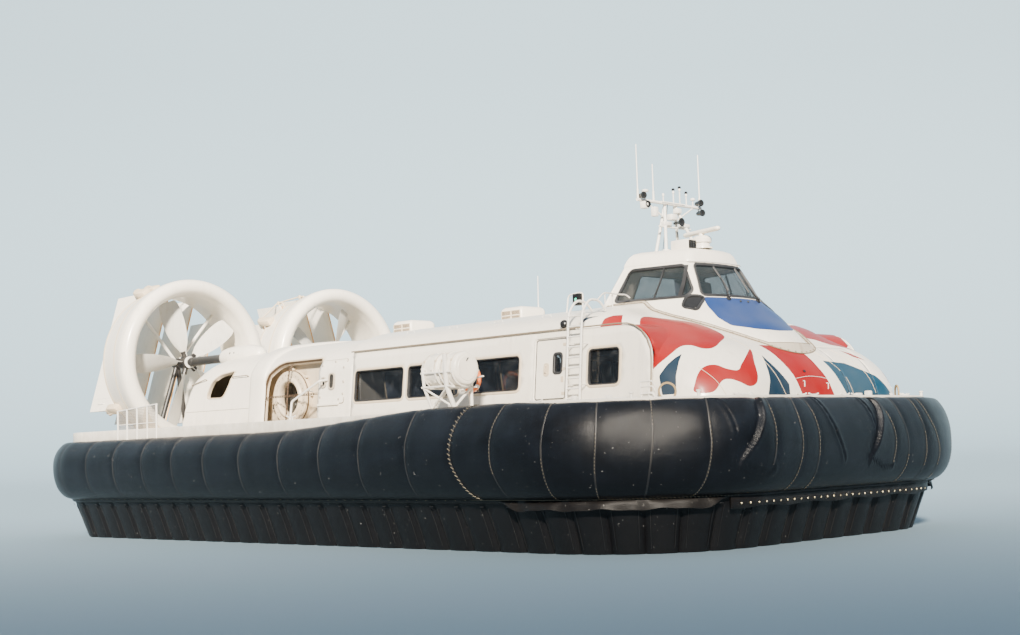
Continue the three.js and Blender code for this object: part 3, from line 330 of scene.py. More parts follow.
greenLens = finishOf("greenLens", "glass", 0.05, 0.002,
                     {"Emission Color": (0.05, 0.9, 0.55, 1), "Emission Strength": 1.6}, colour=(0.0, 0.35, 0.22, 1))
redLens = finishOf("redLens", "glass", 0.05, 0.002, colour=(0.4, 0.02, 0.02, 1))
print("materials are made")


forward, upward = (1, 0, 0), (0, 0, 1)


# Points, then mesh helpers that each add to an open bmesh
def circle(count, start=0.0):
    return [start + 2 * math.pi * k / count for k in range(count)]


def arc(sweep, count, start=0.0):
    return [start + sweep * k / count for k in range(count + 1)]


def spline(points, steps, closed=False):
    count = len(points)
    at = (lambda i: points[i % count]) if closed else (lambda i: points[min(max(i, 0), count - 1)])
    out = []
    for i in range(count if closed else count - 1):
        near = list(zip(at(i - 1), at(i), at(i + 1), at(i + 2)))
        for t in (k / steps for k in range(steps)):
            out.append(tuple(0.5 * (2 * b + (c - a) * t + (2 * a - 5 * b + 4 * c - d) * t * t
                                    + (3 * b - a - 3 * c + d) * t ** 3) for a, b, c, d in near))
    return out if closed else out + [tuple(points[-1])]


def cornerArc(a, b, c, radius, share, steps):
    back, on = a - b, c - b
    reach = min(radius, back.length * share, on.length * share)
    p, q = b + back.normalized() * reach, b + on.normalized() * reach
    return [p.lerp(b, k / steps).lerp(b.lerp(q, k / steps), k / steps) for k in range(steps + 1)]


def bent(points, radius, steps=5):
    # A polyline with its corners rounded off
    points = [Vector(p) for p in points]
    inner = [p for abc in zip(points, points[1:], points[2:]) for p in cornerArc(*abc, radius, 0.45, steps)]
    return [points[0], *inner, points[-1]]


def roundedLoop(corners, radius, steps=5):
    points = [Vector(p) for p in corners]
    return [tuple(p) for abc in zip(points[-1:] + points, points, points[1:] + points[:1])
            for p in cornerArc(*abc, radius, 0.48, steps)]


def joinRows(bm, rows, ring=False):
    # Four-sided faces between closed rows of vertices
    pairs = list(zip(rows, rows[1:])) + ([(rows[-1], rows[0])] if ring else [])
    for low, high in pairs:
        for j in range(len(low)):
            k = (j + 1) % len(low)
            bm.faces.new((low[j], low[k], high[k], high[j]))


def loft(bm, loops, ring=False):
    rows = [[bm.verts.new(p) for p in loop] for loop in loops]
    joinRows(bm, rows, ring)
    if not ring:
        bm.faces.new(rows[0][::-1])
        bm.faces.new(rows[-1])


def tube(bm, points, radius, steps=10, farRadius=None):
    points = [Vector(p) for p in points]
    loops, side = [], None
    for i, p in enumerate(points):
        before = (p - points[i - 1]).normalized() if i else None
        after = (points[i + 1] - p).normalized() if i < len(points) - 1 else None
        ahead = ((before or after) + (after or before)).normalized()
        side = side or ahead.orthogonal().normalized()
        side = (side - ahead * side.dot(ahead)).normalized()
        other = ahead.cross(side)
        r = radius if farRadius is None else radius + (farRadius - radius) * i / (len(points) - 1)
        loops.append([p + (side * math.cos(a) + other * math.sin(a)) * r for a in circle(steps)])
    loft(bm, loops)


def turned(bm, profile, centre, axis, steps=32):
    # profile of (radius, along); a closed profile makes a ring, one that ends on the axis makes a solid
    centre, axis = Vector(centre), Vector(axis).normalized()
    side = axis.orthogonal().normalized()
    other = axis.cross(side)
    spokes = [side * math.cos(t) + other * math.sin(t) for t in circle(steps)]
    if profile[0][0] > 1e-6:
        loft(bm, [[centre + axis * a + spoke * r for r, a in profile] for spoke in spokes], ring=True)
        return
    rows = [[bm.verts.new(centre + axis * a + spoke * r) for spoke in spokes] for r, a in profile[1:-1]]
    first, last = (bm.verts.new(centre + axis * profile[k][1]) for k in (0, -1))
    joinRows(bm, rows)
    for j in range(steps):
        k = (j + 1) % steps
        bm.faces.new((first, rows[0][k], rows[0][j]))
        bm.faces.new((last, rows[-1][j], rows[-1][k]))


def block(bm, centre, size, bevel=0.01, turn=None, segments=2):
    made = bmesh.ops.create_cube(bm, size=1)["verts"]
    place = Matrix.Translation(centre) @ (turn or Matrix.Identity(3)).to_4x4() @ Matrix.Diagonal((*size, 1))
    bmesh.ops.transform(bm, matrix=place, verts=made)
    if bevel:
        edges = list({e for v in made for e in v.link_edges})
        bmesh.ops.bevel(bm, geom=edges, offset=bevel, segments=segments, affect="EDGES", profile=0.5)


def dome(bm, centre, axis, radius, height, steps=8):
    crown = [(radius * math.cos(a), height * math.sin(a)) for a in (0.5, 1.0)]
    turned(bm, [(0, 0), (radius, 0), *crown, (0, height)], centre, axis, steps)


def rods(bm, side, rows):
    # Rows of (radius, steps around, places ...), whose y counts outward
    for radius, steps, *places in rows:
        tube(bm, [(x, side * y, z) for x, y, z in places], radius, steps)


def toPiece(name, bm, material, body="craft", slot="white_paint", replaces=(), angle=38, recalc=True):
    if recalc:
        bmesh.ops.recalc_face_normals(bm, faces=bm.faces)
    mesh = bpy.data.meshes.new(name)
    bm.to_mesh(mesh)
    bm.free()
    for entry in material if isinstance(material, list) else [material]:
        mesh.materials.append(entry)
    mesh.shade_smooth()
    mesh.set_sharp_from_angle(angle=math.radians(angle))
    made = bpy.data.objects.new(name, mesh)
    bpy.context.scene.collection.objects.link(made)
    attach(made, body)
    if replaces:
        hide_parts(*replaces)
    return made


def piece(name, material, *shapes, **how):
    # A piece from rows of (helper, its values ...)
    bm = bmesh.new()
    for shape, *values in shapes:
        shape(bm, *values)
    return toPiece(name, bm, material, **how)


def addModifier(target, kind, **settings):
    modifier = target.modifiers.new(kind.lower(), kind)
    for key, value in settings.items():
        setattr(modifier, key, value)


def dressNode(name, material, bevel=0.0, angle=35):
    node = cadNodes[name]
    for slot in node.material_slots:
        slot.link = "OBJECT"
        slot.material = material
    if bevel:
        addModifier(node, "BEVEL", width=bevel, segments=2, limit_method="ANGLE", angle_limit=math.radians(angle),
                    harden_normals=False)


# Flat outlines, in any pair of surface coordinates
def rectangle(u0, u1, v0, v1):
    return [(u0, v0), (u1, v0), (u1, v1), (u0, v1)]


def loopArea(loop):
    return 0.5 * sum(a[0] * b[1] - b[0] * a[1] for a, b in zip(loop, loop[1:] + loop[:1]))


def widened(loop, distance):
    sign = 1 if loopArea(loop) > 0 else -1
    out = []
    for a, p, b in zip(loop[-1:] + loop, loop, loop[1:] + loop[:1]):
        along = (Vector(b) - Vector(a)).normalized()
        out.append((p[0] + sign * along.y * distance, p[1] - sign * along.x * distance))
    return out


def isInside(point, loop):
    x, y = point
    inside = False
    for (xj, yj), (xi, yi) in zip(loop[-1:] + loop, loop):
        if (yi > y) != (yj > y) and x < (xj - xi) * (y - yi) / (yj - yi) + xi:
            inside = not inside
    return inside


def stepped(loop, pitch):
    out = []
    for a, b in zip(loop, loop[1:] + loop[:1]):
        steps = max(1, math.ceil(math.dist(a, b) / pitch))
        out += [(a[0] + (b[0] - a[0]) * k / steps, a[1] + (b[1] - a[1]) * k / steps) for k in range(steps)]
    return out


def skinSheet(bm, surface, outline, pitch, holes=(), regions=(), outward=None):
    # A fine sheet over surface(u, v) inside the outline; each region is (loop, material index)
    bands = [list(loop) for loop, _ in regions]
    loops = [stepped(loop, pitch) for loop in [list(outline), *map(list, holes), *bands]]
    points, edges = [], []
    for loop in loops:
        first = len(points)
        points += loop
        edges += [(first + i, first + (i + 1) % len(loop)) for i in range(len(loop))]
    near = kdtree.KDTree(len(points))
    for i, p in enumerate(points):
        near.insert((*p, 0), i)
    near.balance()
    (lowU, highU), (lowV, highV) = ((min(along), max(along)) for along in zip(*loops[0]))
    clear = 0.45 * pitch
    for i in range(int((highU - lowU) / pitch) + 2):
        for j in range(int((highV - lowV) / pitch) + 2):
            p = (lowU + (i + 0.5 * (j % 2)) * pitch, lowV + j * pitch)
            if isInside(p, loops[0]) and near.find((*p, 0))[2] > clear:
                points.append(p)
    flat, _, faces = geometry.delaunay_2d_cdt([Vector(p) for p in points], edges, [], 0, 1e-6)[:3]
    kept = []
    for face in faces:
        middle = sum((flat[i] for i in face), Vector((0, 0))) / len(face)
        if isInside(middle, loops[0]) and not any(isInside(middle, loop) for loop in loops[1:1 + len(holes)]):
            looks = [look for (_, look), loop in zip(regions, loops[1 + len(holes):]) if isInside(middle, loop)]
            kept.append((face, looks[-1] if looks else 0))
    verts = {i: bm.verts.new(surface(*flat[i])) for i in sorted({i for face, _ in kept for i in face})}
    for face, look in kept:
        bm.faces.new([verts[i] for i in face]).material_index = look
    if outward is not None:
        bm.normal_update()
        faces = list({f for v in verts.values() for f in v.link_faces})
        lean = sum((f.normal.dot(Vector(outward(f.calc_center_median()))) * f.calc_area() for f in faces), 0.0)
        if lean < 0:
            bmesh.ops.reverse_faces(bm, faces=faces)


def thicken(sheet, thickness, lining=0):
    addModifier(sheet, "SOLIDIFY", thickness=thickness, offset=-1, material_offset=lining)


def raised(surface, u, v, height, outward):
    here = surface(u, v)
    normal = (surface(u + 0.004, v) - here).cross(surface(u, v + 0.004) - here).normalized()
    if normal.dot(outward(here)) < 0:
        normal.negate()
    return here + normal * height


def trimRing(bm, surface, loop, profile, outward):
    # A bead swept round an outline on a surface: profile of (beyond the outline, height)
    rings = zip(*(widened(loop, beyond) for beyond, _ in profile))
    loft(bm, [[raised(surface, *place, height, outward) for place, (_, height) in zip(ring, profile)]
              for ring in rings], ring=True)


def patch(bm, surface, loop, height, depth, outward):
    # A thin plate with the outline's shape, standing on a surface
    loft(bm, [[raised(surface, u, v, h, outward) for u, v in loop] for h in (height - depth, height)])


frameBead = [(0.032, -0.004), (0.034, 0.010), (0.020, 0.017), (-0.012, 0.014), (-0.022, 0.004), (-0.022, -0.05),
             (-0.004, -0.05), (-0.002, -0.004)]


def lineRuns(line):
    runs = [0.0]
    for a, b in zip(line, line[1:]):
        runs.append(runs[-1] + math.dist(a, b))
    return runs


hullShape = {
    "halfLength": 11.85, "halfBeam": 6.35, "bowRadius": 3.65, "sternRadius": 2.56,
    "edgeInset": 0.56, "deck": 2.9,
}


def planPath(inset, pitch):
    # Stations (x, y, outward x, outward y, run) all round from the stern's starboard corner
    h = hullShape
    stern, bow, reach, beam = h["sternRadius"], h["bowRadius"], h["halfLength"], h["halfBeam"]
    corners = [(stern - reach, stern - beam, stern, math.pi), (reach - bow, bow - beam, bow, 1.5 * math.pi),
               (reach - bow, beam - bow, bow, 0), (stern - reach, beam - stern, stern, 0.5 * math.pi)]
    out = []
    for (cx, cy, r, start), (nextX, nextY, nextR, nextStart) in zip(corners, corners[1:] + corners[:1]):
        turns = max(6, round((r - inset) * math.pi / 2 / pitch))
        for i in range(turns + 1):
            a = start + i / turns * math.pi / 2
            out.append((cx + (r - inset) * math.cos(a), cy + (r - inset) * math.sin(a), math.cos(a), math.sin(a)))
        ax, ay, nx, ny = out[-1]
        endX = nextX + (nextR - inset) * math.cos(nextStart)
        endY = nextY + (nextR - inset) * math.sin(nextStart)
        steps = max(1, round(math.dist((ax, ay), (endX, endY)) / pitch))
        out += [(ax + (endX - ax) * i / steps, ay + (endY - ay) * i / steps, nx, ny) for i in range(1, steps)]
    runs = lineRuns([p[:2] for p in out + out[:1]])
    return [(*p, run) for p, run in zip(out, runs)], runs[-1]


skirt = {
    "mirror": 56.38,         # a starboard run and its port twin add up to this
    "seamPull": 0.013,
    "seamReach": 0.11,
    "creaseLip": 0.060,
    "creaseHollow": 0.075,
    "sectionSteps": 60,
    "fingers": 84,
    "fingerSteps": 10,
    "bowHem": (24.55, 31.83),
    "hemBoltGap": 0.25,
    "flap": (19.6, 24.45),
    # Seams as (run along the edge, place across the bag), from the deck at 0 to the hem at 1
    "laced": [(19.12, 0.05), (19.10, 0.25), (18.80, 0.45), (18.71, 0.60), (18.77, 0.69), (19.01, 0.83), (19.24, 0.96)],
    "sideSeams": [
        [(17.50, 0.05), (17.39, 0.41), (17.34, 0.58), (17.38, 0.75), (17.46, 0.96)],
        [(20.06, 0.05), (20.03, 0.33), (19.89, 0.49), (19.88, 0.68), (20.00, 0.82), (20.10, 0.96)],
        [(21.24, 0.05), (21.20, 0.36), (21.14, 0.55), (21.14, 0.70), (21.20, 0.96)],
        [(22.01, 0.05), (22.08, 0.30), (22.10, 0.55), (22.06, 0.75), (22.03, 0.96)],
        [(23.00, 0.05), (23.02, 0.48), (22.98, 0.66), (22.84, 0.96)],
        [(24.09, 0.05), (23.97, 0.47), (23.96, 0.62), (23.87, 0.80), (23.70, 0.96)],
    ],
    "bowSeams": [
        [(25.70, 0.05), (25.30, 0.36), (25.28, 0.55), (25.22, 0.70), (25.15, 0.76)],
        [(26.45, 0.05), (26.10, 0.40), (26.09, 0.60), (26.03, 0.73), (25.84, 0.96)],
        [(26.50, 0.18), (26.57, 0.40), (26.67, 0.57), (26.64, 0.70), (26.55, 0.96)],
        [(28.95, 0.10), (29.15, 0.40), (29.38, 0.50), (29.50, 0.62), (29.42, 0.76)],
        [(29.70, 0.20), (29.84, 0.46), (30.00, 0.60), (30.00, 0.76), (29.85, 0.96)],
        [(30.45, 0.10), (30.59, 0.44), (30.74, 0.60), (30.74, 0.80), (30.60, 0.96)],
        [(30.80, 0.14), (30.92, 0.44), (31.18, 0.60), (31.30, 0.73), (31.25, 0.96)],
    ],
    "plainSeams": [1.5, 2.9, 4.3, 5.7, 7.1, 8.5, 9.9, 11.4, 12.95, 14.46, 15.85],
    "sternSeams": [57.9, 59.4, 60.9, 62.4],
    "creases": [
        [(25.22, 0.24), (25.10, 0.36), (25.01, 0.48), (24.92, 0.53), (24.77, 0.60), (24.62, 0.65), (24.46, 0.71)],
        [(28.98, 0.30), (29.09, 0.40), (29.06, 0.48), (28.97, 0.54), (28.82, 0.61), (28.67, 0.67), (28.49, 0.72)],
    ],
    "folds": [
        [(24.42, 0.71), (24.66, 0.745), (24.89, 0.765), (25.07, 0.78), (25.20, 0.76)],
        [(26.88, 0.30), (26.99, 0.42), (27.20, 0.54), (27.34, 0.61), (27.53, 0.72)],
        [(28.46, 0.72), (28.80, 0.76), (29.10, 0.79), (29.40, 0.78)],
        [(28.55, 0.36), (28.70, 0.47), (28.82, 0.57)],
        [(24.05, 0.30), (24.30, 0.42), (24.42, 0.55)],
    ],
}


def smoothStep(t):
    t = min(max(t, 0.0), 1.0)
    return t * t * (3 - 2 * t)


def bagDrop(x):
    # How far the bag's root sits below the deck: deep aft, tight under the rim at the bow
    return 0.24 * (1 - smoothStep((x + 0.5) / 6.5)) - 0.05 * smoothStep((x - 7.6) / 1.6)


def bagRise(x):
    return -0.01 + 0.085 * smoothStep((x + 0.5) / 7.0) - 0.105 * smoothStep((x - 7.6) / 1.6)


bagCache = {}


def bagLine(x, t):
    # Point (outward, z) of the bag section at t from 0 at the deck edge to 1 at the seam
    drop, rise = bagDrop(x), bagRise(x)
    key = (round(drop, 3), round(rise, 3))
    if key not in bagCache:
        base = hullShape["deck"] - drop
        bagCache[key] = spline([
            (0.0, base - 0.10), (0.008, base - 0.06 + rise * 0.6), (0.075, base - 0.01 + rise), (0.165, base + rise),
            (0.30, base - 0.06 + rise * 0.6), (0.45, 2.61 - 0.75 * drop), (0.545, 2.30 - 0.35 * drop), (0.572, 1.97),
            (0.545, 1.66), (0.44, 1.36), (0.25, 1.14), (0.0, 1.05)], 12)
    line = bagCache[key]
    at = min(max(t, 0.0), 1.0) * (len(line) - 1)
    i = min(int(at), len(line) - 2)
    return tuple(a + (b - a) * (at - i) for a, b in zip(line[i], line[i + 1]))


def twins(lines):
    # The same lines on the port side
    return [[(skirt["mirror"] - run, t) for run, t in line] for line in lines]


def straightSeams(runs):
    return [[(run + 0.05, 0.05), (run - 0.04, 0.4), (run - 0.05, 0.6), (run + 0.04, 0.96)] for run in runs]


def runOn(line, t):
    # Where a seam stands along the edge at height t, or None beyond its ends
    if line[0][1] <= t <= line[-1][1]:
        for (r0, t0), (r1, t1) in zip(line, line[1:]):
            if t0 <= t <= t1:
                return r0 + (r1 - r0) * (t - t0) / max(t1 - t0, 1e-6)
    return None


def smoothed(lines):
    return [sorted(spline(line, 6), key=lambda p: p[1]) for line in lines]


plainSeams = straightSeams(skirt["plainSeams"])
lacedSeams = smoothed([skirt["laced"], *twins([skirt["laced"]])])
stitchedSeams = smoothed(skirt["sideSeams"] + twins(skirt["sideSeams"]) + skirt["bowSeams"])
allSeams = lacedSeams + stitchedSeams + plainSeams + twins(plainSeams) + straightSeams(skirt["sternSeams"])
bagCreases = smoothed(skirt["creases"])
bagFolds = [spline(line, 5) for line in skirt["folds"]]


def creasePush(run, t):
    # A crescent fold: a hollow aft of the line, a lip on the bow side
    push = 0.0
    for line in bagCreases:
        low, high = line[0][1], line[-1][1]
        at = runOn(line, min(max(t, low), high))
        d = run - at
        if abs(d) > 0.9 or not low - 0.06 < t < high + 0.06:
            continue
        strength = math.sin(math.pi * min(max((t - low + 0.06) / (high - low + 0.12), 0.0), 1.0)) ** 0.8
        lip = skirt["creaseLip"] * math.exp(-max(d, 0) / 0.22) * smoothStep((t - 0.26) / 0.16)
        hollow = -skirt["creaseHollow"] * math.exp(min(d, 0) / 0.12)
        push += strength * (hollow + (lip - hollow) * smoothStep((d + 0.045) / 0.09))
    for line in bagFolds:
        if not line[0][0] - 0.3 < run < line[-1][0] + 0.3:
            continue
        away = min(math.hypot(run - r, (t - s) * 3.0) for r, s in line)
        push += 0.012 * math.exp(-((away - 0.05) / 0.05) ** 2) - 0.022 * math.exp(-(away / 0.03) ** 2)
    return push


def offEdge(station, n, z, across=0.0):
    # The point n metres outward of the skirt's root line, at height z
    x, y, nx, ny = station[:4]
    return Vector((x + nx * n - ny * across, y + ny * n + nx * across, z))


def bagPoint(station, t, lift=0.0):
    x, y, _, _, run = station
    n, z = bagLine(x, t)
    n2, z2 = bagLine(x, min(t + 0.004, 1))
    n1, z1 = bagLine(x, max(t - 0.004, 0))
    along = Vector((n2 - n1, z2 - z1)).normalized()
    outN, outZ = -along.y, along.x            # the bag's own outward direction in the section
    if outN < 0 and t > 0.25:
        outN, outZ = -outN, -outZ
    belly = math.sin(math.pi * min(t * 1.05, 1))
    away = min((abs(run - at) for at in (runOn(line, t) for line in allSeams) if at is not None), default=9.0)
    push = lift - skirt["seamPull"] * belly * math.exp(-(away / skirt["seamReach"]) ** 2)
    push += 0.009 * belly * noise.noise(Vector((x * 0.9, y * 0.9, z * 1.3)))
    push += 0.004 * belly * noise.noise(Vector((x * 3.1, y * 3.1, z * 1.7)))
    push += creasePush(run, t)
    return offEdge(station, n + outN * push, z + outZ * push)


edgePath, edgeTotal = planPath(hullShape["edgeInset"], 0.05)
edgeRuns = [p[4] for p in edgePath]


def stationAt(run):
    run = run % edgeTotal
    i = bisect.bisect_right(edgeRuns, run) - 1
    a, b = edgePath[i], edgePath[(i + 1) % len(edgePath)]
    span = (edgeRuns[i + 1] if i + 1 < len(edgeRuns) else edgeTotal) - edgeRuns[i]
    t = min(max((run - edgeRuns[i]) / span, 0), 1)
    mixed = [a[d] + (b[d] - a[d]) * t for d in range(4)]
    size = math.hypot(mixed[2], mixed[3])
    return mixed[0], mixed[1], mixed[2] / size, mixed[3] / size, run


def bagRuns():
    # Places along the edge, closer together near the creases and the seams
    wanted = {round(i * edgeTotal / 580, 3) for i in range(580)}
    for lines, beyond, gap in ((bagCreases + bagFolds, 0.2, 0.02), (allSeams, 0.06, 0.045)):
        for line in lines:
            low, high = min(r for r, _ in line) - beyond, max(r for r, _ in line) + beyond
            wanted |= {round(low + gap * i, 3) % edgeTotal for i in range(int((high - low) / gap) + 1)}
    out = []
    for run in sorted(wanted):
        if not out or run - out[-1] > 0.014:
            out.append(run)
    return out


def alongSeam(line, gap):
    # Points (run, t) at even spacing along a seam
    out, left = [], 0.0
    for (r0, t0), (r1, t1) in zip(line, line[1:]):
        size = math.hypot(r1 - r0, (t1 - t0) * 3.1)
        while left < size:
            k = left / size
            out.append((r0 + (r1 - r0) * k, t0 + (t1 - t0) * k))
            left += gap
        left -= size
    return out


def buildBag():
    steps = skirt["sectionSteps"]
    loops = []
    for run in bagRuns():
        station = stationAt(run)
        drop = max(bagDrop(station[0]), 0.0)
        inner = ((-0.42, 1.06), (-0.60, 1.7), (-0.10, 2.42 - drop), (-0.10, 2.76 - drop))
        loops.append([bagPoint(station, k / steps) for k in range(steps + 1)]
                     + [offEdge(station, n, z) for n, z in inner])
    piece("skirtBag", bagRubber, (loft, loops, True), slot="skirt_rubber", replaces=("skirt_bag_fore", "skirt_bag_aft"),
          angle=60)
    tape = ((-0.020, -0.004), (-0.013, 0.004), (0.013, 0.004), (0.020, -0.004))
    strips = [[[bagPoint(stationAt(run + d), t, lift) for d, lift in tape] for run, t in alongSeam(line, 0.07)]
              for line in allSeams]
    piece("bagSeams", seamRubber, *[(loft, rows) for rows in strips], slot="skirt_rubber", angle=60)

    # Stitches: bold lacing over two seams, small ones along the others, and two rows along the hem
    bm = bmesh.new()

    def stitch(run, t, halfRun, down, up, lift, radius, around):
        tube(bm, [bagPoint(stationAt(run - halfRun), t - down, lift), bagPoint(stationAt(run + halfRun), t + up, lift)],
             radius, around)

    for line in lacedSeams:
        for run, t in alongSeam(line, 0.085):
            stitch(run, t, 0.035, 0.004, 0.008, 0.012, 0.011, 5)
    for line in stitchedSeams:
        for run, t in alongSeam(line, 0.062):
            if noise.noise(Vector((run * 1.3, t * 4, 5.0))) <= 0.12 and t >= 0.06:
                stitch(run, t, 0.0, 0.005, 0.005, 0.006, 0.0055, 4)
    for start, stop, t, gap in ((18.9, 24.75, 0.955, 0.075), (21.4, 24.75, 0.995, 0.105)):
        for i in range(int((stop - start) / gap)):
            for run in (start + i * gap, skirt["mirror"] - start - i * gap):
                stitch(run, t, 0.024, 0.006, 0.006, 0.010, 0.008, 5)
    toPiece("bagLacing", bm, stitchCord, slot="skirt_rubber")


def sweptStrip(name, material, section, runs, closed=False, **how):
    rows = [[offEdge(stationAt(run), n, z) for n, z in section(run)] for run in runs]
    return piece(name, material, (loft, rows, closed), **how)


def flapSection(run):
    start, stop = skirt["flap"]
    place = run if run < 28 else skirt["mirror"] - run
    reach = smoothStep((place - start) / 0.5) * smoothStep((stop - place) / 0.4)
    wave = 0.035 * math.sin(place * 5.2) + 0.02 * math.sin(place * 11.7 + 1)
    low = 1.02 - 0.15 * reach + 0.5 * wave * reach
    out = 0.06 + (0.045 + 0.8 * wave) * reach
    return ((0.03, 1.07), (0.075, 1.05), (0.5 * (0.085 + out), 0.5 * (1.05 + low)), (out, low),
            (out - 0.02, low - 0.008), (0.5 * (0.05 + out), 0.5 * (1.03 + low)), (0.01, 1.03))


def bowHemSection(run):
    low = 0.02 * math.sin(run * 4)
    return ((0.035, 1.06), (0.060, 1.03), (0.052 + 0.008 * math.sin(run * 9), 0.91),
            (0.034 + 0.014 * math.sin(run * 7), 0.83 + low), (0.015, 0.82 + low), (0.012, 0.92), (-0.02, 1.05))


def buildHemStrip():
    # A rope-edged seam all round, a deeper bolted strip at the bow, and a loose flap on each fore side
    how = {"slot": "skirt_rubber", "angle": 60}
    hem = ((0.02, 1.125), (0.055, 1.10), (0.06, 1.045), (0.02, 1.0), (-0.04, 0.985), (-0.04, 1.13))
    sweptStrip("bagHemStrip", hemRubber, lambda run: hem, [i * edgeTotal / 600 for i in range(600)], True, **how)
    first, last = skirt["bowHem"]
    sweptStrip("bowHemStrip", hemRubber, bowHemSection, [first + (last - first) * i / 110 for i in range(111)], **how)
    start, stop = skirt["flap"]
    runs = [start + (stop - start) * i / 90 for i in range(91)]
    sweptStrip("hemFlap_starboard", hemRubber, flapSection, runs, **how)
    sweptStrip("hemFlap_port", hemRubber, flapSection, [skirt["mirror"] - r for r in runs], **how)

    bm = bmesh.new()
    count = round((last - first) / skirt["hemBoltGap"])
    for i in range(count + 1):
        station = stationAt(first + 0.25 + (last - first - 0.5) * i / count)
        dome(bm, offEdge(station, 0.050, 0.905), (*station[2:4], -0.12), 0.024, 0.016, 10)
    small = round(edgeTotal / 0.30)
    for i in range(small):
        station = stationAt(i * edgeTotal / small)
        if not 18.8 < station[4] < 37.6:
            dome(bm, offEdge(station, 0.055, 1.075), (*station[2:4], -0.1), 0.018, 0.012, 7)
    toPiece("hemBolts", bm, boltMetal, slot="machine_metal")


def buildFingers():
    # Open-faced lobes under the bag, each with a fold to the next
    count, steps = skirt["fingers"], skirt["fingerSteps"]
    face = ((-0.01, 1.045, 0.02), (-0.06, 0.90, 0.06), (-0.12, 0.72, 0.09), (-0.20, 0.52, 0.11), (-0.28, 0.30, 0.115),
            (-0.35, 0.12, 0.11), (-0.40, 0.0, 0.11))
    back = ((-0.47, 0.0), (-0.455, 0.12), (-0.45, 0.5), (-0.44, 1.045))
    loops = []
    for f in range(count):
        for k in range(steps):
            station = stationAt((f + k / steps) / count * edgeTotal)
            x, y = station[:2]
            u = k / steps * 2 - 1
            hollow = 1 - math.sqrt(max(0.0, 1 - u * u))
            waver = noise.noise(Vector((x, y, 0.3)) * 1.7) + noise.noise(Vector((x * 4, y * 4, f * 3.7)))
            loops.append([offEdge(station, n - depth * hollow + 0.012 * waver * math.sin(z * 3), z)
                          for n, z, depth in face] + [offEdge(station, n - 0.08 * hollow, z) for n, z in back])
    piece("skirtFingers", fingerRubber, (loft, loops, True), slot="skirt_rubber",
          replaces=("skirt_fingers_fore", "skirt_fingers_aft"), angle=50)
    # Ties at the top of each fold, and the doubled edge down each finger
    bm = bmesh.new()
    edge = ((-0.069, 0.88), (-0.144, 0.72), (-0.229, 0.52), (-0.309, 0.30), (-0.384, 0.10))
    for f in range(count):
        station = stationAt(f / count * edgeTotal)
        tie = [offEdge(station, n, 0.93, across) for n, across in ((0, -0.05), (0.02, 0), (0, 0.05))]
        tube(bm, bent(tie, 0.03), 0.009, 6)
        for across in (-0.11, 0.11):
            tube(bm, [offEdge(station, n, z, across) for n, z in edge], 0.007, 5)
    toPiece("fingerTies", bm, seamRubber, slot="skirt_rubber")


buildBag()
buildHemStrip()
buildFingers()
print("skirt is made")


deckFittings = {
    "kerb": 0.055,
    "cleatRuns": [5.5, 12.5, 20.5, 25.2, 27.6, 29.2, 31.3],
}


def deckEdgeSection(run):
    x, deck = stationAt(run)[0], hullShape["deck"]
    low = deck - 0.104 - max(bagDrop(x), 0)
    kerb = deck + 0.014 + deckFittings["kerb"] * smoothStep((x - 6.9) / 0.9)
    return ((-0.16, deck - 0.002), (-0.16, deck + 0.012), (-0.055, deck + 0.014), (-0.045, kerb), (0.0, kerb),
            (0.018, kerb - 0.012), (0.02, low + 0.02), (0.008, low), (-0.03, low), (-0.03, deck - 0.03))


def buildDeckEdge():
    deck = hullShape["deck"]
    sweptStrip("deckEdge", whitePaint, deckEdgeSection, [i * edgeTotal / 600 for i in range(600)], True)
    bm = bmesh.new()
    for i in range(250):
        station = stationAt(i * edgeTotal / 250)
        dome(bm, offEdge(station, -0.10, deck + 0.012), (0, 0, 1), 0.014, 0.009, 6)
        dome(bm, offEdge(station, 0.016, deck - 0.055), (*station[2:4], 0), 0.013, 0.010, 6)
    toPiece("deckEdgeBolts", bm, boltMetal, slot="machine_metal")
    # Mooring cleats: two posts and a horned bar
    bm = bmesh.new()
    for run in deckFittings["cleatRuns"]:
        for k in (1, -1):
            x, y, nx, ny, _ = stationAt(run)
            along = Vector((-k * ny, nx, 0))
            base = Vector((x - nx * 0.16, k * (y - ny * 0.16), deck + 0.01))
            for d in (-0.06, 0.06):
                tube(bm, [base + along * d, base + along * d + Vector((0, 0, 0.07))], 0.016, 8)
            horns = [base + along * d + Vector((0, 0, z)) for d, z in
                     ((-0.17, 0.10), (-0.08, 0.075), (0.08, 0.075), (0.17, 0.10))]
            tube(bm, spline(horns, 4), 0.018, 8)
            plate = (0.2, 0.09, 0.012) if abs(along.x) > 0.5 else (0.09, 0.2, 0.012)
            block(bm, base + Vector((0, 0, 0.002)), plate, 0.004)
    toPiece("mooringCleats", bm, fittingWhite)


dressNode("hull", deckPaint)
buildDeckEdge()
print("deck edge is made")


# Bow dome: the CAD's level outlines of (z, front, half width, corner radius), drawn fine and smooth
bowShape = {
    "levels": [(2.9005, 11.08, 3.79, 1.55), (3.35, 10.96, 3.785, 1.65), (3.70, 10.72, 3.765, 1.75),
               (4.0, 10.35, 3.73, 1.85), (4.22, 9.92, 3.69, 2.0), (4.45, 9.42, 3.65, 1.9), (4.6, 9.02, 3.58, 1.5),
               (4.78, 8.4, 3.45, 0.95), (4.95, 7.9, 3.0, 0.45), (5.07, 7.7, 2.4, 0.26), (5.2, 7.56, 1.2, 0.12),
               (5.249, 7.5, 0.06, 0.05)],
    "aft": 7.4, "heart": (7.4, 0.0, 2.9), "thickness": 0.05,
    "shoulderFront": 9.52, "shoulderTop": 4.53, "shoulderRadius": 0.76, "shoulderHalf": 3.64,
    "door": (0.9, 2.0, 2.975, 4.06), "doorGap": 0.008,
}

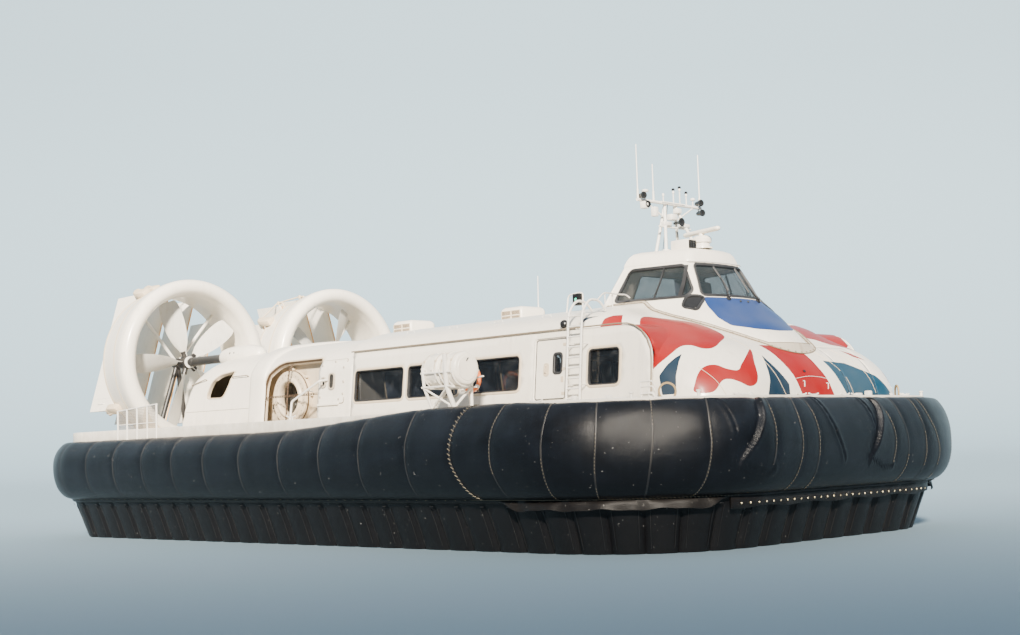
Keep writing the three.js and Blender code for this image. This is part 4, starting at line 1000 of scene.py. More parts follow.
# Painted bands in the dome's own flat map (see domeMap), each with its place in the list of paints
bowBands = {
    "wallRed": (1, [(-.604, .395), (-.534, .4), (-.4, .383), (-.312, .253), (-.363, .18), (-.396, .154), (-.427, .154),
                    (-.457, .171), (-.488, .17), (-.521, .145), (-.55, .124), (-.60, .10), (-.62, .173), (-.62, .3)]),
    "firstWedge": (2, [(-.489, .14), (-.511, .128), (-.536, .109), (-.563, .078), (-.557, .02), (-.516, .02),
                       (-.513, .071), (-.501, .113)]),
    "waveRed": (1, [(-.466, .022), (-.464, .046), (-.45, .076), (-.429, .092), (-.401, .093), (-.374, .08),
                    (-.344, .076), (-.325, .097), (-.26, .158), (-.281, .102), (-.288, .059), (-.3, .038),
                    (-.323, .032), (-.347, .043), (-.372, .051), (-.394, .047), (-.42, .02)]),
    "secondWedge": (2, [(-.231, .134), (-.24, .093), (-.246, .05), (-.263, .01), (-.175, .008), (-.169, .041),
                        (-.198, .079), (-.221, .111)]),
    "centreRed": (1, [(-.196, .188), (-.173, .153), (-.157, .111), (-.136, .065), (-.116, .006), (.041, .006),
                      (.03, .047), (.012, .099), (.009, .144), (.002, .198)]),
    "portTeal": (3, [(.07, .124), (.178, .113), (.28, .066), (.34, .005), (.108, .006), (.084, .059)]),
    "portRed": (1, [(.45, .42), (.64, .40), (.665, .31), (.585, .215), (.42, .15), (.338, .179), (.284, .203),
                    (.274, .244), (.226, .275), (.109, .267), (.16, .36)]),
    "thinRed": (1, [(.254, .171), (.285, .15), (.309, .118), (.27, .136)]),
    "portWaveRed": (1, [(.466, .022), (.47, .066), (.45, .096), (.415, .112), (.385, .1), (.36, .06), (.40, .02)]),
    "portWedge": (2, [(.489, .14), (.536, .109), (.59, .078), (.60, .02), (.516, .02), (.513, .071)]),
    "roofBlue": (2, [(-.862, .465), (-.783, .437), (-.834, .44), (-.914, .428)]),
    "roofRed": (1, [(-.785, .36), (-.76, .404), (-.725, .421), (-.684, .419), (-.688, .339)]),
    "portRoofRed": (1, [(.785, .36), (.76, .404), (.725, .421), (.684, .419), (.688, .339)]),
}


def domeMap(point):
    d = (Vector(point) - Vector(bowShape["heart"])).normalized()
    return d.y / (1 + d.x), d.z / (1 + d.x)


def domeRay(u, v):
    # The other way: a flat map place to a direction out of the dome's heart
    w = 2 / (1 + u * u + v * v)
    return Vector((w - 1, u * w, v * w))


def domeTree():
    s = bowShape
    back = s["aft"] - 0.4
    bm = bmesh.new()
    loops = []
    for z, front, half, radius in spline(s["levels"], 4):
        r = max(0.03, radius)
        loop = [(back, -half, z)]
        for side in (-1, 1):
            loop += [(front - r + r * math.cos(a), side * (half - r) + r * math.sin(a), z)
                     for a in ((-1 + i / 16 if side < 0 else i / 16) * math.pi / 2 for i in range(17))]
        loops.append([*loop, (back, half, z)])
    low = 2.3
    loft(bm, [[(x, y, low) for x, y, _ in loops[0]], *loops])
    profile = [(s["aft"] - 0.3, low), (s["shoulderFront"], low)]
    profile += [(s["shoulderFront"] + s["shoulderRadius"] * (math.cos(a) - 1),
                 s["shoulderTop"] + s["shoulderRadius"] * (math.sin(a) - 1)) for a in arc(math.pi / 2, 16)]
    profile.append((s["aft"] - 0.3, s["shoulderTop"]))
    loft(bm, [[(x, y, z) for x, z in profile] for y in (-s["shoulderHalf"], s["shoulderHalf"])])
    bmesh.ops.triangulate(bm, faces=bm.faces)
    tree = BVHTree.FromBMesh(bm)
    bm.free()
    return tree


bowTree = domeTree()


def domeSurface(u, v):
    heart, ray = Vector(bowShape["heart"]), domeRay(u, v)
    hit = bowTree.ray_cast(heart + ray * 9, -ray, 12)[0]
    return hit if hit else heart + ray


def domeOut(point):
    return Vector(point) - Vector(bowShape["heart"])


def domeHits(places, ahead, far):
    # Flat map places where rays along a direction meet the dome
    return [domeMap(bowTree.ray_cast(Vector(p), Vector(ahead), far)[0]) for p in places]


def levelLoop(corners):
    # A rounded outline given as (y, z) places on the dome's front
    return domeHits([(14, y, z) for y, z in stepped(roundedLoop(corners, 0.05), 0.12)], (-1, 0, 0), 8)


def onWall(p):
    # The cabin's side walls stand here, so the dome's skin stops at them
    corner = p.x > 8.76 and p.z > 3.77 and math.hypot(p.x - 8.76, p.z - 3.77) > 0.70
    return abs(p.y) > 3.57 and p.z < 4.47 and p.x < 9.46 and not corner


def buildDome():
    paints = [whitePaint, redPaint, navyPaint, tealPaint, cabinLining]
    soft = ("waveRed", "wallRed", "portWaveRed")
    bands = [(spline(loop, 5, closed=True) if name in soft else roundedLoop(loop, 0.004, 2), look)
             for name, (look, loop) in bowBands.items()]
    y0, y1, z0, z1 = bowShape["door"]
    gap, pitch, rim = bowShape["doorGap"], 0.0105, 0.995
    doorway = levelLoop(rectangle(y0 - gap, y1 + gap, z0 - gap, z1 + gap))
    outline = [(rim * math.cos(a), max(0.0, rim * math.sin(a))) for a in arc(math.pi, 90)]
    hatch = domeHits([(7.62, -0.84, 9), (9.0, -0.84, 9), (9.0, 0.84, 9), (7.62, 0.84, 9)], (0, 0, -1), 9)
    bm = bmesh.new()
    skinSheet(bm, domeSurface, outline, pitch, [doorway, roundedLoop(hatch, 0.02)], bands, domeOut)
    bmesh.ops.delete(bm, geom=[f for f in bm.faces if onWall(f.calc_center_median())], context="FACES")
    thicken(toPiece("bowDomeSkin", bm, paints, slot="red_paint", replaces=("bow_dome",), angle=30, recalc=False),
            bowShape["thickness"], 4)
    door = piece("bowDoorSkin", paints,
                 (skinSheet, domeSurface, levelLoop(rectangle(y0, y1, z0, z1)), pitch, (), bands, domeOut),
                 body="bow_door", slot="blue_paint", replaces=("bow_door",), angle=30, recalc=False)
    thicken(door, bowShape["thickness"], 4)


buildDome()
print("bow dome is painted")


# Cabin sides: leaning flat walls with rounded windows, drawn upright as (x, z) and laid on the lean.
# Bead sections are rows of (beyond the outline, height)
cabin = {
    "foot": (3.88, 2.9003), "lean": math.atan2(0.18, 1.65), "aft": 0.0803, "front": 9.52, "top": 4.53,
    "frontRadius": 0.76, "windows": [(0.20, 1.97), (2.15, 3.88), (4.24, 5.80), (7.83, 8.66)],
    "sill": 3.335, "head": 4.07, "windowRadius": 0.10, "wall": 0.05, "door": (6.3, 7.2, 3.08, 4.38), "doorGap": 0.008,
    "doorWindow": (6.84, 7.06, 3.64, 4.05), "plate": (8.04, 8.18, 3.0, 3.10),
    "rubber": [(0.012, -0.004), (0.012, 0.012), (0.004, 0.016), (-0.012, 0.012), (-0.018, 0.002), (-0.018, -0.05),
               (-0.004, -0.05), (-0.002, -0.004)],
    "moulding": [(0.055, -0.004), (0.053, 0.006), (0.042, 0.014), (0.010, 0.017), (-0.001, 0.010), (-0.001, -0.004)],
    "surround": [(0.03, -0.003), (0.026, 0.012), (-0.012, 0.016), (-0.022, -0.003)],
    "leafBead": [(0.012, -0.003), (0.01, 0.006), (-0.008, 0.006), (-0.012, -0.003)],
}


def wallSurface(side, inset=0.0):
    sl, cl = math.sin(cabin["lean"]), math.cos(cabin["lean"])
    y0, z0 = cabin["foot"]
    return lambda x, z: Vector((x, side * (y0 - (z - 2.9) * sl - inset * cl), z0 + (z - 2.9) * cl - inset * sl))


def outwards(side):
    return lambda point: Vector((0, side, 0.1))


def wallOutline():
    c = cabin
    r = c["frontRadius"]
    corner = [(c["front"] - r + r * math.cos(a), c["top"] - r + r * math.sin(a)) for a in arc(math.pi / 2, 20)]
    return [(c["aft"], 2.906), (c["front"], 2.906), *corner, (c["aft"], c["top"])]


def buildWalls():
    c = cabin
    g = c["doorGap"]
    x0, x1, z0, z1 = c["door"]
    doorway = roundedLoop(rectangle(x0 - g, x1 + g, z0 - g, z1 + g), 0.08)
    leafEdge = widened(roundedLoop(rectangle(*c["door"]), 0.075), -0.016)
    windows = [roundedLoop(rectangle(a, b, c["sill"], c["head"]), c["windowRadius"]) for a, b in c["windows"]]
    opening = roundedLoop(rectangle(*c["doorWindow"]), 0.065)
    pane = roundedLoop(widened(rectangle(*c["doorWindow"]), 0.02), 0.07)
    for name, side in sides:
        surface, out = wallSurface(side), outwards(side)
        leaf = {"body": f"side_door_{name}"}
        plate = lambda box, radius, height, depth: (patch, surface, roundedLoop(rectangle(*box), radius), height,
                                                    depth, out)
        wall = piece(f"cabinWall_{name}", [whitePaint, cabinLining],
                     (skinSheet, surface, wallOutline(), 0.16, windows + [doorway], (), out),
                     replaces=(f"cabin_side_{name}",), angle=25, recalc=False)
        thicken(wall, c["wall"], 1)
        # Rubber window beads with a pale outer moulding
        piece(f"windowRubber_{name}", frameRubber, *[(trimRing, surface, loop, c["rubber"], out) for loop in windows],
              slot="black_paint")
        piece(f"windowMoulding_{name}", creamMoulding,
              *[(trimRing, surface, widened(loop, 0.014), c["moulding"], out) for loop in windows])
        # Raised surround of the side door and a small plate, then the leaf's beads, pane, handle and hinges
        piece(f"doorSurround_{name}", whitePaint, (trimRing, surface, widened(doorway, 0.03), c["surround"], out),
              plate(c["plate"], 0.02, 0.008, 0.012))
        piece(f"doorBeads_{name}", frameRubber, (trimRing, surface, leafEdge, c["leafBead"], out),
              (trimRing, surface, opening, frameBead, out), slot="black_paint", **leaf)
        piece(f"doorPane_{name}", darkGlass, (patch, wallSurface(side, 0.02), pane, 0.0, 0.006, out),
              slot="dark_glass", **leaf)
        grip = [raised(surface, 6.62, z, h, out) for z, h in ((3.81, 0.0), (3.80, 0.05), (3.67, 0.055), (3.65, 0.0))]
        hinges = [plate((7.09, 7.17, z - 0.03, z + 0.03), 0.012, 0.010, 0.014) for z in (3.2, 3.72, 4.24)]
        piece(f"doorHandle_{name}", creamMoulding, plate((6.54, 6.70, 3.58, 3.87), 0.078, 0.010, 0.014),
              (tube, bent(grip, 0.02), 0.011, 8), plate((7.06, 7.13, 3.44, 3.56), 0.02, 0.012, 0.016), *hinges, **leaf)
        for node in (f"side_glass_aft_{name}", f"side_glass_fore_{name}"):
            dressNode(node, darkGlass)
        dressNode(f"side_door_{name}", whitePaint, 0.004)


roofShape = {
    "half": [(3.72, 4.55), (3.45, 4.78), (3.0, 4.95), (2.4, 5.07), (1.2, 5.20), (0.0, 5.25)],
    "aft": 0.0803, "front": 7.41, "thickness": 0.05,
}


def mirrored(half):
    return half + [(-y, z) for y, z in half[-2::-1]]


def buildRoof():
    r = roofShape
    outer = mirrored(spline(r["half"], 6))
    inner = [(y * 0.985, z - r["thickness"]) for y, z in outer][::-1]
    skin = [[(x, y, z) for y, z in outer + inner] for x in arc(r["front"] - r["aft"], 12, r["aft"])]
    piece("cabinRoofSkin", whitePaint, (loft, skin), replaces=("cabin_roof",), angle=40)
    # The gutter follows the wall's rounded front on the starboard side and stops short of the ladder to port
    edge = [(x, 3.735, 4.552) for x in (0.03, 8.6)]
    edge += [(8.76 + 0.76 * math.sin(a), 3.733 + 0.07 * (1 - math.cos(a)), 3.79 + 0.755 * math.cos(a))
             for a in (0.15, 0.4, 0.7, 1.0, 1.3, 1.55)]
    piece("gutterLine", gutterBrown, (rods, -1, [(0.016, 6, *edge, (9.53, 3.87, 3.0))]),
          (rods, 1, [(0.016, 6, edge[0], (7.3, 3.735, 4.552))]), slot="black_paint")
    # Grab hoops on both shoulders, and a whip aerial on its foot
    hoops = [(0.01, 6, *[(x + d, 3.2, 4.9 + h) for d, h in ((0, 0), (0, 0.05), (0.25, 0.05), (0.25, 0))])
             for x in (1.5, 3.0, 4.5, 6.0)]
    foot = [(0, 5.18), (0.045, 5.20), (0.035, 5.42), (0.02, 5.46), (0, 5.47)]
    piece("roofFittings", fittingWhite, (rods, -1, hoops), (rods, 1, hoops),
          (tube, [(2.7, 0.1, 5.2), (2.72, 0.1, 6.36)], 0.018, 8, 0.010), (turned, foot, (2.7, 0.1, 0), upward, 12))


airUnit = {"size": (0.71, 0.84), "low": 5.0, "shoulder": 5.42, "top": 5.49, "y": -0.9,
           "at": {"air_unit_fore": 3.145, "air_unit_aft": -0.875}, "screens": (5.215, 5.335)}


def buildAirUnits():
    u = airUnit
    w, d = u["size"][0] / 2, u["size"][1] / 2
    low, shoulder, top = u["low"], u["shoulder"], u["top"]
    levels = [(0, 0, low), (0, 0, 5.16), (0.004, 0.004, shoulder - 0.02), (0.018, 0.018, shoulder + 0.015),
              (0.06, 0.07, top - 0.015), (0.12, 0.14, top - 0.003), (0.25, 0.30, top)]
    for node, x in u["at"].items():
        cover = [[(x + dx, u["y"] + dy, z) for dx, dy in
                  roundedLoop(rectangle(inX - w, w - inX, inY - d, d - inY), 0.06, 4)] for inX, inY, z in levels]
        piece(f"{node}_cover", whitePaint, (loft, cover), replaces=(node,), angle=50)
        bars, screens = [], []
        for side in (-1, 1):
            face = lambda out, dx, z: (x + dx, u["y"] + side * (d + out), z)
            for z in u["screens"]:
                for dx in (-0.165, 0.165):
                    screens.append((block, face(0, dx, z), (0.27, 0.012, 0.085), 0.003))
                    bars.append((block, face(0.004, dx, z + 0.05), (0.30, 0.014, 0.014), 0.003))
                    bars += [(block, face(0.006, dx, z + 0.026 * k), (0.27, 0.014, 0.010), 0.002) for k in (-1, 0, 1)]
                bars += [(block, face(0.006, dx, z), (0.018, 0.016, 0.10), 0.003) for dx in (-0.31, 0.0, 0.31)]
        screws = [(dome, (x + dx, u["y"] + dy, 5.478), upward, 0.014, 0.01, 6)
                  for dx in (-0.25, 0.25) for dy in (-0.32, 0.32)]
        piece(f"{node}_louvres", creamMoulding, *bars, *screws)
        piece(f"{node}_screen", grilleMetal, *screens, slot="black_paint")


buildWalls()
buildRoof()
buildAirUnits()
print("cabin sides, roof and air units are made")


# Machinery houses behind the cabin: (outward y, z) lines from the wall foot over the shoulder
machinery = {
    "bayLine": [(3.738, 4.2), (3.48, 4.56), (3.0, 4.84), (2.4, 4.97), (1.2, 5.09), (0.0, 5.13)],
    "cowlLine": [(3.738, 4.2), (3.48, 4.56), (3.05, 4.80), (2.5, 4.90), (1.4, 4.86)],
    "foot": (3.86, 2.9004), "bayAft": -4.1, "bayFore": 0.08, "cowlAft": -7.43, "thickness": 0.05,
    "intake": (-3.56, -1.27, 2.94, 4.50), "intakeRadius": 0.75,
    "vent": [(-6.24, 3.70), (-5.44, 3.68), (-5.18, 4.02), (-5.0, 4.40), (-5.72, 4.32), (-6.05, 4.08)],
    "slope": [(-5.2, 5.35), (-5.7, 5.1), (-6.0, 4.93), (-6.5, 4.74), (-6.9, 4.43), (-7.15, 4.05), (-7.33, 3.5),
              (-7.43, 2.9)],
    "band": [(-0.06, 0.0), (-0.06, 0.03), (-0.03, 0.055), (0.06, 0.07), (0.36, 0.07), (0.50, 0.062), (0.585, 0.035),
             (0.60, 0.0)],
    "intakeBead": [(0.022, -0.004), (0.022, 0.010), (0.0, 0.016), (-0.02, 0.008), (-0.02, -0.14), (-0.010, -0.14),
                   (-0.006, -0.004)],
    "ventBead": [(0.020, -0.004), (0.020, 0.01), (0.0, 0.015), (-0.014, 0.008), (-0.014, -0.09), (-0.006, -0.09),
                 (-0.005, -0.004)],
    "fan": (-2.85, 3.56), "grille": (-2.60, 3.60),
    "bell": [(0.70, 3.295), (0.70, 3.48), (0.69, 3.50), (0.66, 3.505), (0.55, 3.50), (0.53, 3.51), (0.50, 3.545),
             (0.465, 3.56), (0.43, 3.545), (0.41, 3.50), (0.405, 3.44), (0.42, 3.36), (0.455, 3.31), (0.52, 3.29)],
}

bayLine = [machinery["foot"]] + spline(machinery["bayLine"], 6)
bayRuns = lineRuns(bayLine)
cowlLine = [machinery["foot"]] + spline(machinery["cowlLine"], 6) + [(1.4, 4.4), (1.4, 2.9004)]
cowlRuns = lineRuns(cowlLine)
slopeSpline = spline(machinery["slope"], 8)


def along(line, runs, s):
    s = min(max(s, 0.0), runs[-1])
    i = 0
    while i < len(runs) - 2 and runs[i + 1] < s:
        i += 1
    t = (s - runs[i]) / (runs[i + 1] - runs[i])
    return tuple(a + (b - a) * t for a, b in zip(line[i], line[i + 1]))


def runAtHeight(line, runs, z):
    for i, (a, b) in enumerate(zip(line, line[1:])):
        if a[1] <= z <= b[1]:
            return runs[i] + (runs[i + 1] - runs[i]) * (z - a[1]) / (b[1] - a[1])
    return runs[-1]


def bayRun(z):
    return runAtHeight(bayLine, bayRuns, z)


def cowlRun(z):
    return runAtHeight(cowlLine, cowlRuns, z)


def rowLoop(corners, radius, runOf):
    return [(x, runOf(z)) for x, z in roundedLoop(corners, radius, 8)]


def baySurface(side, rise=0.0):
    def place(x, s):
        y, z = along(bayLine, bayRuns, s)
        y2, z2 = along(bayLine, bayRuns, min(s + 0.02, bayRuns[-1]))
        y1, z1 = along(bayLine, bayRuns, max(s - 0.02, 0))
        n = Vector((z2 - z1, -(y2 - y1))).normalized() * rise
        return Vector((x, side * (y + n.x), z + n.y))
    return place


def slopeTop(x):
    # Height of the cowl's aft slope, out of reach where it hasn't begun
    foreX, foreZ = machinery["slope"][0]
    if x >= foreX:
        return foreZ + 2
    for a, b in zip(slopeSpline, slopeSpline[1:]):
        if b[0] <= x <= a[0]:
            return a[1] + (b[1] - a[1]) * (a[0] - x) / max(a[0] - b[0], 1e-6)
    return slopeSpline[-1][1]


def cowlSurface(side):
    blend, tuckDepth = 0.16, 0.45

    def place(x, s):
        y, z = along(cowlLine, cowlRuns, s)
        top = slopeTop(x)
        h = max(blend - abs(z - top), 0) / blend
        lowered = max(min(z, top) - h * h * blend / 4, 2.9004)
        near = min(max((z - (top - tuckDepth)) / tuckDepth, 0), 1)
        pull = 0.30 * near * near * min(max((y - 2.5) / 1.2, 0), 1)
        return Vector((x, side * (y - pull), lowered))
    return place


def shoulderOut(side):
    return lambda p: Vector((0, p.y * 0.5 + side * 0.2, p.z - 3.4))


def buildLiftBay(name, side):
    m = machinery
    x0, x1, z0, z1 = m["intake"]
    r = m["intakeRadius"]
    bay, out = baySurface(side), shoulderOut(side)
    corner = [(x0 + r - r * math.cos(a), z1 - r + r * math.sin(a)) for a in arc(math.pi / 2, 12)]
    intake = [(x, bayRun(z)) for x, z in [(x0, z0), *corner, (x1 - 0.08, z1), (x1, z1 - 0.08), (x1, z0)]]
    shell = piece(f"liftBaySkin_{name}", [whitePaint, creamMoulding],
                  (skinSheet, bay, rectangle(m["bayAft"], m["bayFore"], 0, bayRuns[-1]), 0.10, [intake], (), out),
                  replaces=(f"lift_bay_{name}",), angle=30, recalc=False)
    thicken(shell, m["thickness"], 1)
    # Rounded arch band round the bay's aft end
    band = [[baySurface(side, rise)(m["bayAft"] + dx, s) for dx, rise in m["band"]]
            for s in arc(bayRuns[-1] - 1e-3, 60, 1e-3)]
    piece(f"archBand_{name}", whitePaint, (loft, band), angle=50)
    piece(f"intakeFrame_{name}", creamMoulding, (trimRing, bay, intake, m["intakeBead"], out))
    seal = [(0.006, -0.06), (0.006, 0.004), (-0.010, 0.004), (-0.010, -0.06)]
    piece(f"intakeSeal_{name}", grilleMetal, (trimRing, bay, widened(intake, -0.028), seal, out), slot="black_paint")


def buildIntake(name, side):
    m = machinery
    x0, x1 = m["intake"][:2]
    # Inlet wall, riveted bell ring and the eye of the fan
    fx, fz = m["fan"]
    centre, outward = (fx, 0, fz), (0, side, 0)
    eye = [(fx + 0.60 * math.cos(a), fz + 0.60 * math.sin(a)) for a in circle(48)]
    wall = piece(f"inletWall_{name}", creamMoulding,
                 (skinSheet, lambda x, z: Vector((x, side * 3.30, z)), rectangle(-4.05, 0.03, 2.902, 4.62), 0.2, [eye],
                  (), outwards(side)), angle=30, recalc=False)
    thicken(wall, 0.03)
    lugs = [(block, (fx + x, side * 3.33, fz + z), (0.07, 0.10, 0.07), 0.01)
            for x, z in ((0.0, 0.75), (0.53, 0.53), (-0.53, 0.53), (0.74, 0.05), (-0.72, 0.1))]
    piece(f"voluteRing_{name}", creamMoulding, (turned, spline(m["bell"], 3), centre, outward, 64), *lugs, angle=45)
    pins = [(dome, (fx + 0.605 * math.cos(a), side * 3.503, fz + 0.605 * math.sin(a)), outward, 0.014, 0.008, 6)
            for a in circle(26, math.pi / 26)]
    hoop = [(0.698, 3.40), (0.712, 3.405), (0.712, 3.435), (0.698, 3.44)]
    piece(f"volutePins_{name}", grilleMetal, *pins, (turned, hoop, centre, outward, 64), slot="machine_metal")
    # Grille of one upright and one level bar, each of paired rods with spacers
    bay = baySurface(side)
    upX, levelZ = m["grille"]
    behind = lambda x, z, depth: bay(x, bayRun(z)) - Vector((0, side * depth, 0))
    grille = [(tube, [behind(x, z, 0.03) for x in (x0 + 0.02, x0 + 0.8, x1 - 0.02)], 0.008, 8)
              for z in (levelZ - 0.018, levelZ + 0.018)]
    grille += [(tube, [behind(x, z, 0.045) for z in (2.93, 3.3, 3.7, 4.05, 4.25, 4.42)], 0.009, 8)
               for x in (upX - 0.018, upX + 0.018)]
    grille += [(block, behind(upX, 2.99 + 0.088 * k, 0.04), (0.05, 0.018, 0.028), 0.004) for k in range(16)]
    grille += [(block, behind(x0 + 0.08 + 0.10 * k, levelZ, 0.03), (0.028, 0.018, 0.05), 0.004) for k in range(21)]
    piece(f"intakeGrille_{name}", grilleMetal, *grille, slot="black_paint")
    pipe = [(-3.62, 3.30), (-3.62, 3.44), (-3.50, 3.44), (-3.42, 3.05), (-3.2, 2.96), (-3.08, 2.92)]
    pipe = bent([(x, 3.44, z) for x, z in pipe], 0.07)
    piece(f"drainPipe_{name}", darkMetal, (rods, side, [(0.022, 10, *pipe)]), slot="machine_metal")
    # Deck handrail beside the intake
    rail = bent([(-2.01, 4.12, 2.9), (-2.0, 4.06, 3.43), (-0.95, 3.98, 3.90), (-0.90, 3.78, 3.92)], 0.07)
    piece(f"intakeHandrail_{name}", fittingWhite,
          (rods, side, [(0.028, 12, *rail), (0.018, 8, (-1.45, 4.02, 3.69), (-1.45, 3.80, 3.66))]))


def buildAccessPanel(name, side):
    # A panel with its latches, an oval opening and a round handle
    bay, out = baySurface(side), shoulderOut(side)
    loopOn = lambda radius, *box: rowLoop(rectangle(*box), radius, bayRun)
    panel, lip = loopOn(0.06, -1.20, -0.24, 3.33, 4.40), loopOn(0.02, -1.22, -0.40, 3.285, 3.335)
    oval, handle = loopOn(0.09, -0.82, -0.63, 3.70, 4.06), loopOn(0.075, -1.13, -0.97, 3.76, 3.97)
    recess = loopOn(0.03, -1.09, -1.02, 3.80, 3.94)
    piece(f"accessPanel_{name}", whitePaint, (patch, bay, panel, 0.016, 0.02, out), (patch, bay, lip, 0.045, 0.05, out))
    joint = [(0.011, -0.002), (0.011, 0.006), (-0.010, 0.006), (-0.010, -0.002)]
    piece(f"accessPanelJoint_{name}", gutterBrown, (trimRing, bay, widened(panel, 0.008), joint, out),
          slot="black_paint")
    latch = [(0, 0.012), (0.03, 0.014), (0.026, 0.026), (0, 0.028)]
    latches = [(turned, latch, bay(x, bayRun(z)), (0, side, 0.05), 12) for x, z in
               ((-0.27, 3.55), (-0.27, 3.85), (-0.27, 4.2), (-1.16, 3.50), (-1.16, 4.28), (-0.7, 4.36), (-0.42, 3.42))]
    rim = [(0.036, 0.012), (0.030, 0.034), (-0.004, 0.038), (-0.012, 0.014)]
    piece(f"panelVentRims_{name}", footPaint, *latches, *[(trimRing, bay, loop, rim, out) for loop in (oval, handle)])
    piece(f"panelVents_{name}", darkMetal, *[(patch, bay, loop, 0.019, 0.006, out) for loop in (oval, recess)],
          slot="black_paint")


def buildCowl(name, side):
    m = machinery
    cowl, out = cowlSurface(side), shoulderOut(side)
    vent = rowLoop(m["vent"], 0.16, cowlRun)
    shell = piece(f"engineCowlSkin_{name}", [whitePaint, creamMoulding],
                  (skinSheet, cowl, rectangle(m["cowlAft"], m["bayAft"], 0, cowlRuns[-1]), 0.075, [vent], (), out),
                  replaces=(f"engine_cowl_{name}",), angle=32, recalc=False)
    thicken(shell, m["thickness"], 1)
    piece(f"cowlVentFrame_{name}", creamMoulding, (trimRing, cowl, vent, m["ventBead"], out))
    # Grab rails and a panel joint
    onCowl = lambda x, z, height: raised(cowl, x, cowlRun(z), height, out)
    rails = []
    for aft, fore in ((-6.95, -6.25), (-5.0, -4.3)):
        ends = [onCowl(x, min(4.20, slopeTop(x) - 0.3), h)
                for x, h in ((aft, 0), (aft, 0.055), (fore, 0.055), (fore, 0))]
        rails.append((tube, bent(ends, 0.03), 0.013, 8))
    joint = [onCowl(x, 3.36, 0.002) for x in (-7.2, -6.6, -6.0, -5.4, -4.8, -4.2)]
    piece(f"cowlRails_{name}", gutterBrown, *rails, (tube, joint, 0.005, 6), slot="black_paint")
    dressNode(f"engine_{name}", engineMetal, 0.02)
    dressNode(f"lift_fan_{name}", bareMetal)


def buildEndWall():
    # Flat end wall of the houses, between and beside the cowls
    outline = [(3.80, 2.904), *mirrored(bayLine[1:]), (-3.80, 2.904)]
    bm = bmesh.new()
    front, rear = ([bm.verts.new((x, y * 0.985, min(z, 5.1))) for y, z in outline] for x in (-4.09, -4.12))
    bm.faces.new(front)
    bm.faces.new(rear[::-1])
    for a, b, c, d in zip(front, rear, rear[1:] + rear[:1], front[1:] + front[:1]):
        bm.faces.new((a, b, c, d))
    toPiece("houseEndWall", bm, whitePaint)
    dressNode("cabin_bulkhead", cabinLining)


for name, side in sides:
    buildLiftBay(name, side)
    buildIntake(name, side)
    buildAccessPanel(name, side)
    buildCowl(name, side)
buildEndWall()
print("machinery houses are made")


# Wheelhouse: levels of half outlines (x, y) from the aft corner to the tip, drawn smooth.
# Mullions are rows of (x, lean, half width, tuck at the head), roof rows are (scale, z)
house = {
    "levels": [
        (4.0, [(6.3, 2.3), (9.15, 1.72), (9.56, 1.5), (9.9, 1.18), (10.13, 0.93), (10.33, 0.65), (10.44, 0.34),
               (10.48, 0)]),
        (4.4, [(6.38, 2.18), (9.08, 1.64), (9.34, 1.48), (9.55, 1.25), (9.74, 1.0), (9.88, 0.7), (9.955, 0.37),
               (9.98, 0)]),
        (4.8, [(6.46, 2.0), (8.95, 1.47), (9.1, 1.35), (9.2, 1.18), (9.285, 0.93), (9.34, 0.62), (9.37, 0.32),
               (9.38, 0)]),
        (5.21, [(6.56, 1.79), (8.56, 1.26), (8.68, 1.18), (8.76, 1.05), (8.85, 0.8), (8.91, 0.52), (8.948, 0.27),
                (8.96, 0)]),
        (5.63, [(6.68, 1.555), (8.355, 1.11), (8.465, 1.048), (8.54, 0.94), (8.609, 0.72), (8.655, 0.47),
                (8.686, 0.24), (8.695, 0)]),
        (6.05, [(6.8, 1.32), (8.15, 0.96), (8.25, 0.915), (8.32, 0.83), (8.368, 0.64), (8.4, 0.42), (8.423, 0.21),
                (8.43, 0)]),
    ],
    "top": 6.05, "thickness": 0.045, "footSteps": 90,
    "sideWindow": [(6.80, 5.235), (8.48, 5.235), (8.57, 5.36), (8.23, 5.97), (6.97, 5.955)],
    "frontWindow": [(-1.04, 5.25), (1.04, 5.25), (0.83, 5.985), (-0.83, 5.985)],
    "rearWindow": [(-0.9, 5.3), (0.9, 5.3), (0.76, 5.9), (-0.76, 5.9)],
    "mullions": [(7.74, 0.05, 0.016, 0), (8.36, 0.07, 0.05, 0.12)],
    "bluePanel": [(-1.05, 5.205), (1.05, 5.205), (1.20, 4.95), (1.24, 4.72), (1.12, 4.52), (0.65, 4.44), (0.0, 4.41),
                  (-0.65, 4.44), (-1.12, 4.52), (-1.24, 4.72), (-1.20, 4.95)],
    "quarterWindow": [(8.50, 5.01), (8.49, 5.19), (8.60, 5.235), (8.77, 5.19), (8.845, 5.01), (8.84, 4.92),
                      (8.69, 4.95)],
    "glassBead": [(0.030, -0.004), (0.030, 0.010), (0.012, 0.018), (-0.026, 0.014), (-0.034, 0.002), (-0.034, -0.05),
                  (-0.006, -0.05), (-0.004, -0.004)],
    "quarterBead": [(0.034, -0.004), (0.030, 0.022), (-0.010, 0.026), (-0.018, 0.006)],
    "roof": [(0.998, 6.02), (1.008, 6.045), (1.008, 6.06), (0.996, 6.10), (0.965, 6.18), (0.92, 6.26), (0.86, 6.325),
             (0.74, 6.372), (0.55, 6.398), (0.34, 6.41)],
}


def houseOutline(half):
    corner, nextCorner = Vector(half[0]), Vector(half[1])
    full = [half[0], *(tuple(corner.lerp(nextCorner, t)) for t in (0.6, 0.9)), *half[1:]]
    full = [(x, -y) for x, y in full]
    return spline(full + [(x, -y) for x, y in full[-2::-1]], 8)


def houseTable():
    flatLevels = [(z, *[v for p in half for v in p]) for z, half in house["levels"]]
    rows = [(row[0], houseOutline(list(zip(row[1::2], row[2::2])))) for row in spline(flatLevels, 8)]
    runs = lineRuns(min(rows, key=lambda r: abs(r[0] - 5.21))[1])
    middle = runs[len(runs) // 2]
    return rows, [r - middle for r in runs]


houseRows, houseRuns = houseTable()


